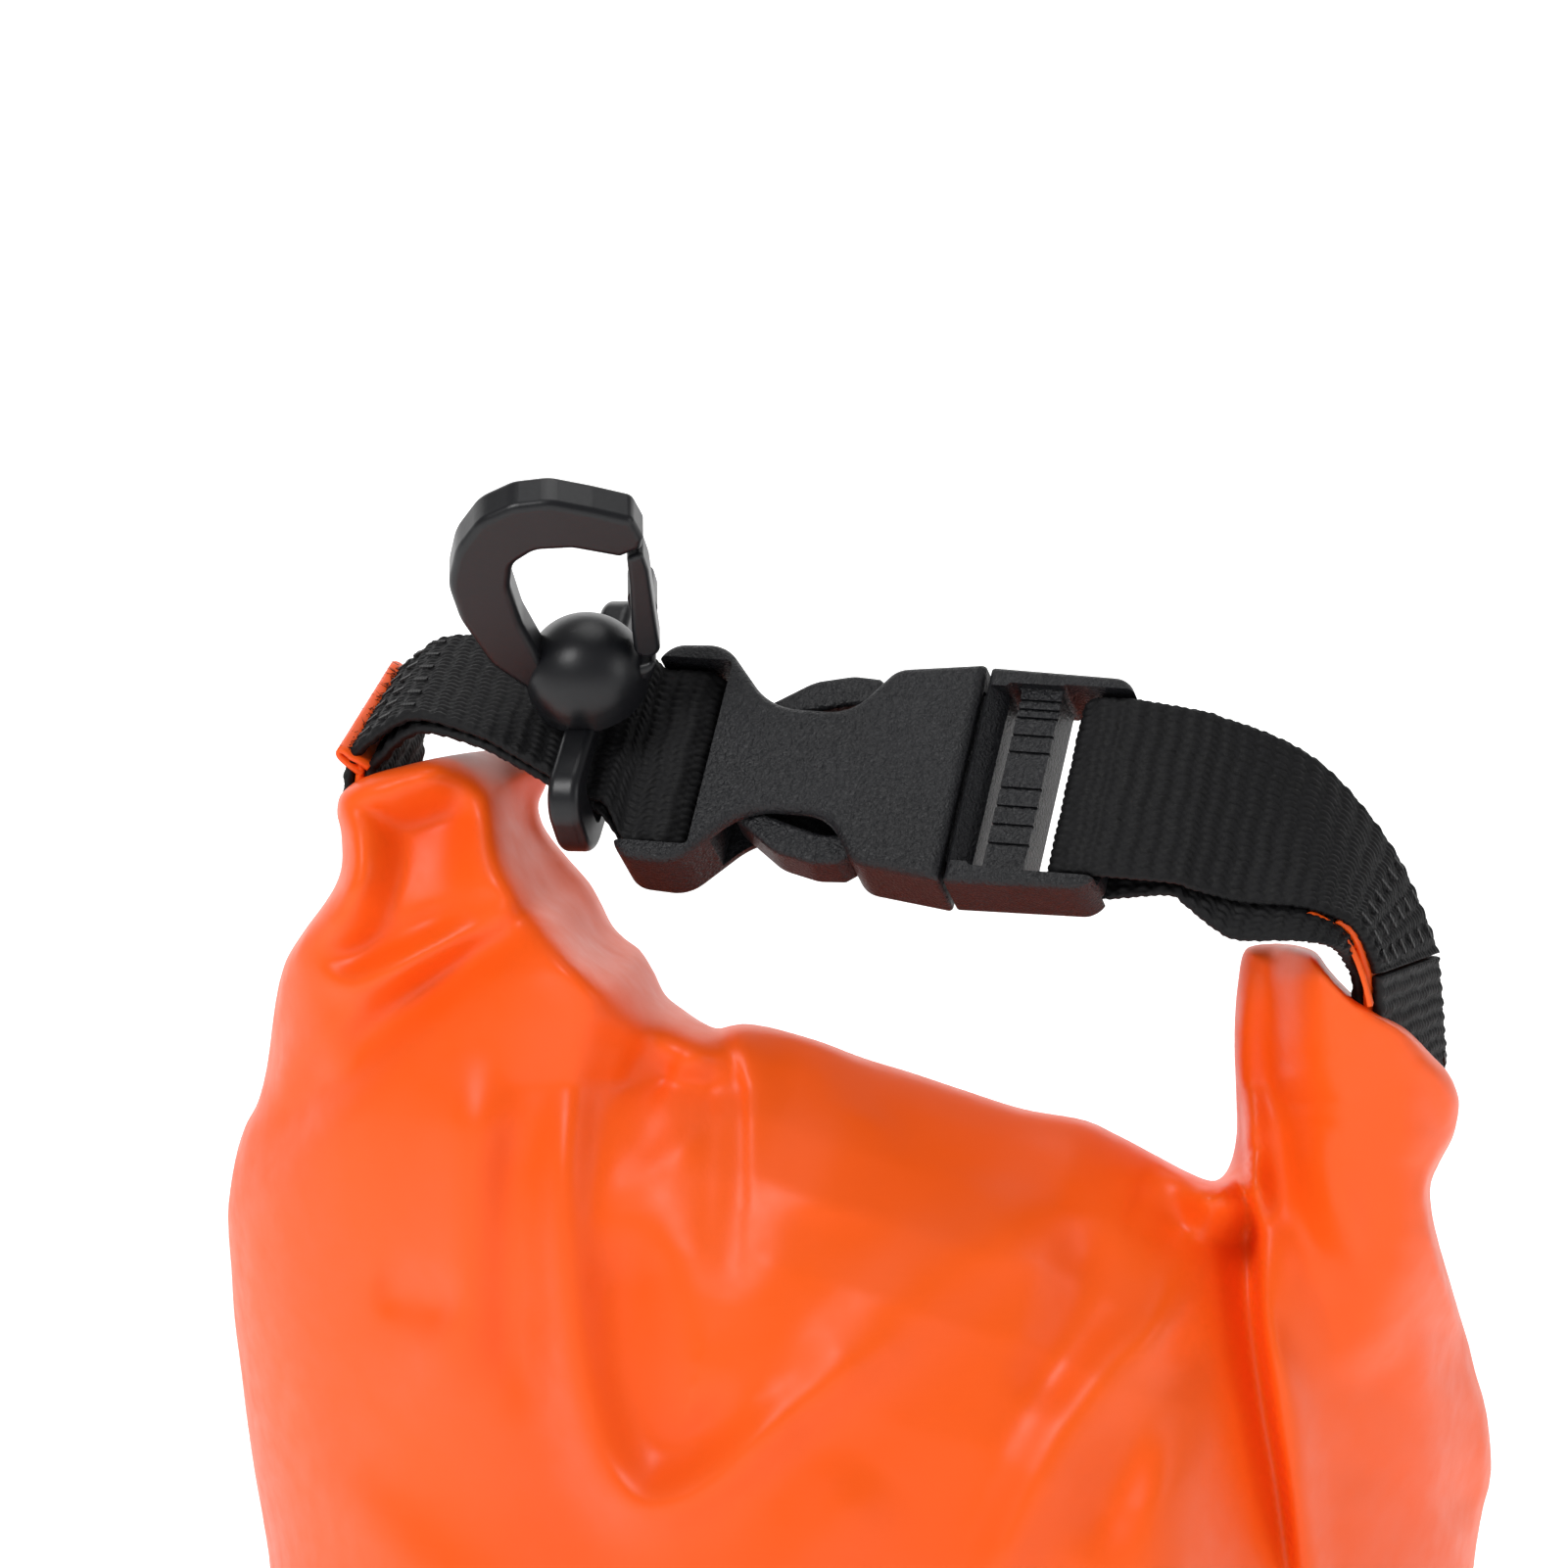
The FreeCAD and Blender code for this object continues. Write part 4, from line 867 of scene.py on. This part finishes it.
# creases that run down the back from the roll
for xa, xb, h, wd in ((-34, -52, 2.2, 6), (-8, -12, 1.6, 7), (18, 26, 2.0, 6), (44, 60, 2.4, 6), (-58, -72, 2.0, 5)):
    zz = K3[:, 2]
    u = smooth(205, 150, zz)
    xc = xa + (xb - xa) * u
    K3[:, 1] -= h * np.exp(-((K3[:, 0] - xc) / (wd * (0.7 + u))) ** 2) * smooth(Z0, 160, zz) * (1 - smooth(196, 205, zz)) * fadeK
K3[Kmap[:n_out]] = OB
bK = Kmap[bs:bs + len(BXZ)]
base_yb = np.sqrt(np.clip(RAD ** 2 - (bX / 84.0 * RAD) ** 2, 0, None))
K3[bK] = np.stack([bX, base_yb, np.full_like(bX, Z0)], 1)

# body below: rings from the joint down to the base
ring0 = np.concatenate([[[-83.6, 0, Z0]], F3[bidx], [[84.0, 0, Z0]], K3[bK][::-1]])
nring = len(ring0)
ang = np.arctan2(ring0[:, 1], ring0[:, 0])
zs = np.concatenate([np.linspace(Z0, 8, 110)[1:], [6.0, 4.4, 3.2, 2.2, 1.6, 1.2, 1.0]])
rings = [ring0]
rad0 = np.linalg.norm(ring0[:, :2], axis=1)
cx_, sy_ = np.cos(ang), np.sin(ang)
for z in zs:
    k = smooth(Z0, 96, z)                       # 0 at the top, 1 when the ring is the plain body
    corner = 0.0 if z > 7 else (7 - z) / 6.0
    r = rad0 * (1 - k) + RAD * k - 3.2 * corner ** 2
    p = np.stack([cx_ * r, sy_ * r, np.full(nring, z)], 1)
    w_ = wobble(p) * smooth(4, 26, z) * k
    fr = np.clip(-sy_, 0, 1)
    low = smooth(30, 60, z)
    w_ += low * 0.9 * np.sin(ang * 5 + 0.03 * z) * smooth(-0.2, 0.6, -np.sin(ang * 2 + 1)) * k
    w_ += 1.1 * np.exp(-((z - 22 - 5 * np.sin(ang * 3 + 0.7)) / 4.0) ** 2) * np.sin(ang * 4 + 2) * k
    p[:, 0] += cx_ * w_
    p[:, 1] += sy_ * w_
    rings.append(p)
body3 = np.concatenate(rings[1:])
cap = len(body3)
# one closed skin: front, back, body, flat underside
nF, nK = len(F3), len(K3)
verts = np.concatenate([F3, K3, ring0, body3, [[0, 0, 1.0]]])
base0 = nF + nK
faces = [tuple(t) for t in Ftri] + [tuple(t + nF) for t in Ktri]
faces += [tuple(f) for f in grid_faces(len(rings), nring, base0, wrap=True)]
# the open edges are joined by the strip of skin that lies round the band
ia, ib = Fmap[:n_out], Kmap[:n_out] + nF
for i in range(n_out - 1):
    if gap[i] + gap[i + 1] > 1e-3:
        faces.append((ia[i], ia[i + 1], ib[i + 1], ib[i]))
last = base0 + (len(rings) - 1) * nring
centre = len(verts) - 1
faces += [(last + i, last + (i + 1) % nring, centre) for i in range(nring)]
bag = mesh_object("bag_fabric", verts, faces, material=ORANGE)
import bmesh
bm = bmesh.new()
bm.from_mesh(bag.data)
bmesh.ops.remove_doubles(bm, verts=bm.verts, dist=2e-5)
bmesh.ops.recalc_face_normals(bm, faces=bm.faces)
bm.to_mesh(bag.data)
bm.free()
bag.data.polygons.foreach_set("use_smooth", [True] * len(bag.data.polygons))
sm = bag.modifiers.new("soften", "SMOOTH")
sm.factor, sm.iterations = 0.5, 3
bpy.context.view_layer.objects.active = bag
bag.select_set(True)
bpy.ops.object.modifier_apply(modifier="soften")
bag.select_set(False)
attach(bag, "bag")
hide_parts("bag_shell")
print("bag verts", len(bag.data.vertices))

# ------------------------------------------------------------------ roll: the mouth turned over and over round its band
def flat_spiral(turns=2.5, half=12.4, r0=2.9, pitch=0.95, n=150):
    """A flat spiral: straight runs joined by half turns that grow by the sheet's pitch."""
    pts = []
    total = turns * 2
    for k in range(int(total)):
        r = r0 + pitch * k / 2
        sgn = 1 if k % 2 == 0 else -1
        for a in np.linspace(-math.pi / 2, math.pi / 2, 13):
            pts.append((sgn * (half - 2.4 + 0 * r + (r) * math.cos(a) * 0.62), sgn * r * math.sin(a) * (1 if True else 1) + (-sgn * pitch / 4)))
    return np.array(pts)


def roll_piece():
    spiral = flat_spiral()
    c, _ = resample(spiral, 1.1)
    t = np.gradient(c, axis=0)
    nn = np.stack([-t[:, 1], t[:, 0]], 1)
    nn /= np.linalg.norm(nn, axis=1)[:, None]
    th = 0.34
    sec = np.concatenate([c + nn * th, (c - nn * th)[::-1]])
    q, s = resample(catmull(roll_rows[9:-8], 3), 2.2)
    V_ = []
    for i, r in enumerate(q):
        w, n = unit(r[3:6]), unit(r[6:9])
        puff = 1.0 + 0.02 * math.sin(s[i] * 0.21 + 1)
        lump = 0.35 * np.sin(s[i] * 0.33 + sec[:, 0] * 0.2) + 0.2 * np.sin(s[i] * 0.71 + 2)
        V_.append(r[:3] + w * (sec[:, 0] * puff)[:, None] + n * (sec[:, 1] + lump)[:, None])
    V_ = np.array(V_)
    nr, nc = V_.shape[0], V_.shape[1]
    f = [tuple(x) for x in grid_faces(nr, nc, wrap=True)]
    h = nc // 2
    for r_, fl in ((0, True), (nr - 1, False)):
        for j in range(h - 1):
            a, b = r_ * nc + j, r_ * nc + j + 1
            c_, d_ = r_ * nc + nc - 2 - j, r_ * nc + nc - 1 - j
            f.append((a, b, c_, d_) if fl else (d_, c_, b, a))
    ob = mesh_object("roll_fabric", V_.reshape(-1, 3), f, body="bag", material=ORANGE, slot="coated_fabric", replaces=("roll_top",))
    normals_out(ob)
    return ob


roll = roll_piece()

# ------------------------------------------------------------------ hem: the doubled edge of the mouth between the two webbings
def hem_piece():
    rr = rows_of(RIGHT)
    lead = rr[-5:-1]
    path = np.concatenate([lead, roll_rows])
    q, s = resample(catmull(path, 3), 0.8)
    y = np.concatenate([np.linspace(-12.4, -10.4, 9), np.linspace(-9.6, 9.6, 15), np.linspace(10.4, 12.4, 9)])
    V_ = []
    for i, r in enumerate(q):
        w, n = unit(r[3:6]), unit(r[6:9])
        wav = 0.25 * math.sin(s[i] * 0.5) + 0.15 * math.sin(s[i] * 1.3 + 1)
        e = np.clip((np.abs(y) - 11.8) / 0.6, 0, 1)
        th = 0.58 * np.sqrt(np.clip(1 - e ** 2, 0.01, 1))
        V_.append(np.concatenate([r[:3] + w * (y * (1 + 0.01 * wav))[:, None] + n * th[:, None],
                                  (r[:3] + w * (y * (1 + 0.01 * wav))[:, None] - n * th[:, None])[::-1]]))
    V_ = np.array(V_)
    nr, nc = V_.shape[0], V_.shape[1]
    f = [tuple(x) for x in grid_faces(nr, nc, wrap=True)]
    f += [tuple(range(nc))[::-1], tuple((nr - 1) * nc + np.arange(nc))]
    ob = mesh_object("mouth_hem_fabric", V_.reshape(-1, 3), f, body="bag", material=ORANGE, slot="coated_fabric", replaces=("mouth_hem",))
    normals_out(ob)
    return ob


hem = hem_piece()


def strip_through(name, pts3, along, half_len, thick, closed_tip=True):
    """A bent strip of sheet: pts3 is its path seen edge on, along is the direction that it is extruded in."""
    c, s = resample(catmull(np.array(pts3, float), 6), 0.25)
    t = np.gradient(c, axis=0)
    along = unit(along)
    nn = np.cross(t, along)
    nn /= np.linalg.norm(nn, axis=1)[:, None]
    sec = np.concatenate([c + nn * thick / 2, (c - nn * thick / 2)[::-1]])
    ys = np.linspace(-half_len, half_len, 24)
    V_ = np.array([sec + along * (y_ + 0.10 * math.sin(y_ * 1.1)) for y_ in ys])
    nr, nc = V_.shape[0], V_.shape[1]
    f = [tuple(x) for x in grid_faces(nr, nc, wrap=True)]
    h = nc // 2
    for r_ in (0, nr - 1):
        for j in range(h - 1):
            f.append((r_ * nc + j, r_ * nc + j + 1, r_ * nc + nc - 2 - j, r_ * nc + nc - 1 - j))
    ob = mesh_object(name, V_.reshape(-1, 3), f, body="bag", material=ORANGE, slot="coated_fabric")
    normals_out(ob)
    return ob


# teardrop where the side crease of the fabric comes out between the webbings on the right
def px3(px, py, y):
    return unproj(px, py, y)


wd = unit((0.12, 0.99, -0.02))
tear = [px3(1399, 1028, -85.2), px3(1392, 1000, -85.8), px3(1381, 972, -86.2), px3(1366, 950, -86.4), px3(1350, 938, -86.6), px3(1337, 934, -86.6),
        px3(1332, 943, -86.6), px3(1338, 955, -86.6), px3(1350, 962, -86.4), px3(1361, 962, -86.2)]
tear = [p + wd * 3.2 for p in tear]
teardrop = strip_through("hem_side_crease_right", tear, wd, 3.0, 0.62)

# folded end of the fabric beside the cut end of the webbing on the left
ws = unit((0.219, 0.909, 0.355))
pL = arr(-61.6, -37.9, 280.3)
lip_n = rows_of(LEFT)[0][6:9]
lip_t = np.cross(ws, lip_n)
lip = [pL + lip_t * a + lip_n * b for a, b in ((0.4, -1.2), (0.2, 0.4), (-0.1, 1.4), (-0.1, 2.5), (-0.55, 3.1), (-1.1, 2.6), (-1.2, 1.4), (-1.1, 0.2), (-1.0, -1.2))]
lip_piece = strip_through("hem_folded_end_left", lip, ws, 12.9, 0.62)

# ------------------------------------------------------------------ base panel, welded rim, back seam
def rim_piece():
    n, V_ = 360, []
    prof = [(0.15, 9.6), (0.75, 9.3), (0.95, 8.4), (0.78, 7.4), (0.92, 6.2), (0.78, 5.0), (0.92, 3.9), (0.8, 2.9), (0.95, 1.7), (0.6, 0.6), (-0.6, 0.12),
            (-2.4, 0.0), (-4.4, 0.1), (-4.6, 0.8), (-3.2, 1.0), (-1.6, 1.4), (-0.6, 2.6), (-0.25, 5.0), (-0.25, 9.0)]
    for i in range(n):
        a = 2 * math.pi * i / n
        r0 = RAD + 0.35 + 0.22 * math.sin(a * 9) + 0.12 * math.sin(a * 23 + 1)
        lift = 0.25 * math.sin(a * 7 + 1)
        V_.append([((r0 + p) * math.cos(a), (r0 + p) * math.sin(a), z + (lift if z > 8 else 0)) for p, z in prof])
    V_ = np.array(V_)
    nc = len(prof)
    V2 = V_.reshape(-1, 3)
    f = []
    for i in range(n):
        j = (i + 1) % n
        for k in range(nc):
            k2 = (k + 1) % nc
            f.append((i * nc + k, j * nc + k, j * nc + k2, i * nc + k2))
    ob = mesh_object("base_weld_rim", V2, f, body="bag", material=ORANGE, slot="coated_fabric", replaces=("base_weld_flange",))
    normals_out(ob)
    return ob


def base_piece():
    n, V_ = 240, []
    radii = [81.5, 80.0, 74.0, 66.0, 56.0, 46.0, 36.0, 26.0, 16.0, 6.0]
    for k, r in enumerate(radii):
        for i in range(n):
            a = 2 * math.pi * i / n
            z = 0.35 + 0.7 * smooth(78, 40, r) + 0.25 * math.sin(3 * a + r * 0.05) * smooth(78, 60, r)
            V_.append((r * math.cos(a), r * math.sin(a), float(z)))
    low = len(V_)
    for k, r in enumerate(radii):
        for i in range(n):
            a = 2 * math.pi * i / n
            V_.append((r * math.cos(a), r * math.sin(a), V_[k * n + i][2] + 0.6))
    f = [tuple(x) for x in grid_faces(len(radii), n, wrap=True)] + [tuple(x)[::-1] for x in grid_faces(len(radii), n, low, wrap=True)]
    f += [(i, (i + 1) % n, low + (i + 1) % n, low + i) for i in range(n)]
    f.append(tuple((len(radii) - 1) * n + i for i in range(n)))
    f.append(tuple(low + (len(radii) - 1) * n + n - 1 - i for i in range(n)))
    ob = mesh_object("base_panel_fabric", V_, f, body="bag", material=ORANGE, slot="coated_fabric", replaces=("base_panel",))
    normals_out(ob)
    return ob


base_weld = rim_piece()
base_disc = base_piece()


def seam_piece():
    """The welded strip down the back, laid on the skin."""
    from mathutils.bvhtree import BVHTree
    dg = bpy.context.evaluated_depsgraph_get()
    tree = BVHTree.FromObject(bag, dg)
    zs_ = np.linspace(4.0, 170.0, 160)
    xs_ = np.linspace(-6, 6, 13)
    top, bot = [], []
    for z in zs_:
        for x in xs_:
            hit, nrm, _i, _d = tree.ray_cast(Vector((x * MM, 0.2, z * MM)), Vector((0, -1, 0)))
            y = hit.y / MM if hit is not None else 85.0
            e = 1 - max(0.0, (abs(x) - 5.2) / 0.8) ** 2
            weld = 0.06 * math.cos(x * 2 * math.pi / 2.0) + 0.03 * math.cos(z * 2 * math.pi / 2.2)
            top.append((x, y + 0.12 + (0.38 + weld) * max(e, 0.05), z))
            bot.append((x, y - 0.25, z))
    nr, nc = len(zs_), len(xs_)
    b0 = len(top)
    f = [tuple(q) for q in grid_faces(nr, nc)] + [tuple(q)[::-1] for q in grid_faces(nr, nc, b0)]
    for c in (0, nc - 1):
        f += [(i * nc + c, (i + 1) * nc + c, b0 + (i + 1) * nc + c, b0 + i * nc + c) for i in range(nr - 1)]
    for r_ in (0, nr - 1):
        f += [(r_ * nc + j, r_ * nc + j + 1, b0 + r_ * nc + j + 1, b0 + r_ * nc + j) for j in range(nc - 1)]
    ob = mesh_object("back_seam_weld", np.array(top + bot), f, body="bag", material=ORANGE, slot="coated_fabric", replaces=("side_seam_tape",))
    normals_out(ob)
    return ob


seam = seam_piece()

# ------------------------------------------------------------------ loose fibres at the webbing's cut ends
def fibres(name, origin, wdir, ndir, tdir, count, spread, out_len, body):
    verts, faces = [], []
    for _ in range(count):
        y = RNG.uniform(-spread, spread)
        p0 = origin + wdir * y + ndir * RNG.uniform(-0.6, 0.7)
        d = unit(tdir * RNG.uniform(0.4, 1.0) + ndir * RNG.uniform(-0.5, 1.1) + wdir * RNG.uniform(-0.8, 0.8))
        bend = unit(RNG.normal(size=3))
        L = out_len * RNG.uniform(0.35, 1.0)
        a = unit(np.cross(d, bend))
        b = np.cross(d, a)
        r = 0.045
        base = len(verts)
        for k in range(6):
            u = k / 5
            c = p0 + d * L * u + bend * L * 0.35 * u * u
            for m in range(4):
                th = math.pi / 2 * m
                verts.append(c + (a * math.cos(th) + b * math.sin(th)) * r * (1 - 0.7 * u))
        for k in range(5):
            for m in range(4):
                m2 = (m + 1) % 4
                faces.append((base + k * 4 + m, base + k * 4 + m2, base + (k + 1) * 4 + m2, base + (k + 1) * 4 + m))
        faces.append((base + 3, base + 2, base + 1, base))
        faces.append((base + 20, base + 21, base + 22, base + 23))
    return mesh_object(name, np.array(verts), faces, body=body, material=WEB, slot="webbing")


lr = rows_of(LEFT)[0]
tl = unit(rows_of(LEFT)[1][:3] - lr[:3])
fib = fibres("left_cut_end_fibres", lr[:3] + lr[6:9] * 1.9 + tl * 0.4, lr[3:6], lr[6:9], -tl, 240, 12.2, 2.2, "bag")

# ------------------------------------------------------------------ floor, backdrop and light
me = bpy.data.meshes.new("floor")
prof = [(-6.0, 0.0), (3.0, 0.0), (4.2, 0.12), (5.1, 0.55), (5.7, 1.3), (5.95, 2.4), (6.0, 6.0)]
fv, ff = [], []
for k, (y, z) in enumerate(prof):
    fv += [(-9.0, y, z - 0.0002), (9.0, y, z - 0.0002)]
    if k:
        ff.append((2 * k - 2, 2 * k - 1, 2 * k + 1, 2 * k))
me.from_pydata(fv, [], ff)
me.polygons.foreach_set("use_smooth", [True] * len(me.polygons))
floor = bpy.data.objects.new("floor", me)
bpy.context.scene.collection.objects.link(floor)
fm_, fnt, fb = new_material("floor_paper")
fvec = coords(fnt)
fnt.links.new(ramp(fnt, noise(fnt, fvec, 3.0, 2.0), [(0.3, (0.86, 0.86, 0.86)), (0.7, (0.88, 0.88, 0.88))]), fb.inputs["Base Color"])
fb.inputs["Roughness"].default_value = 0.9
fb.inputs["Emission Color"].default_value = (1, 1, 1, 1)
fb.inputs["Emission Strength"].default_value = 0.66
me.materials.append(fm_)

world = bpy.data.worlds.new("studio")
bpy.context.scene.world = world
world.use_nodes = True
bg = world.node_tree.nodes["Background"]
bg.inputs["Color"].default_value = (1.0, 1.0, 1.0, 1)
bg.inputs["Strength"].default_value = 0.29


def area(name, loc, aim, size, power, size_y=None):
    ld = bpy.data.lights.new(name, "AREA")
    ld.energy = power
    ld.shape = "RECTANGLE"
    ld.size, ld.size_y = size, size_y or size
    ob = bpy.data.objects.new(name, ld)
    bpy.context.scene.collection.objects.link(ob)
    ob.location = loc
    ob.rotation_mode = "QUATERNION"
    ob.rotation_quaternion = (Vector(aim) - Vector(loc)).to_track_quat("-Z", "Y")
    return ob


area("key_left", (-0.55, -0.70, 0.95), (0, -0.02, 0.22), 0.40, 6.4, 0.45)
area("fill_right", (0.95, -0.5, 0.50), (0, -0.02, 0.2), 0.4, 1.5)
area("top", (0.05, 0.05, 1.3), (0, 0, 0.2), 0.6, 2.6)
area("back", (0.1, 3.9, 2.4), (0.1, 3.5, 0.0), 7.0, 60.0, 3.0)
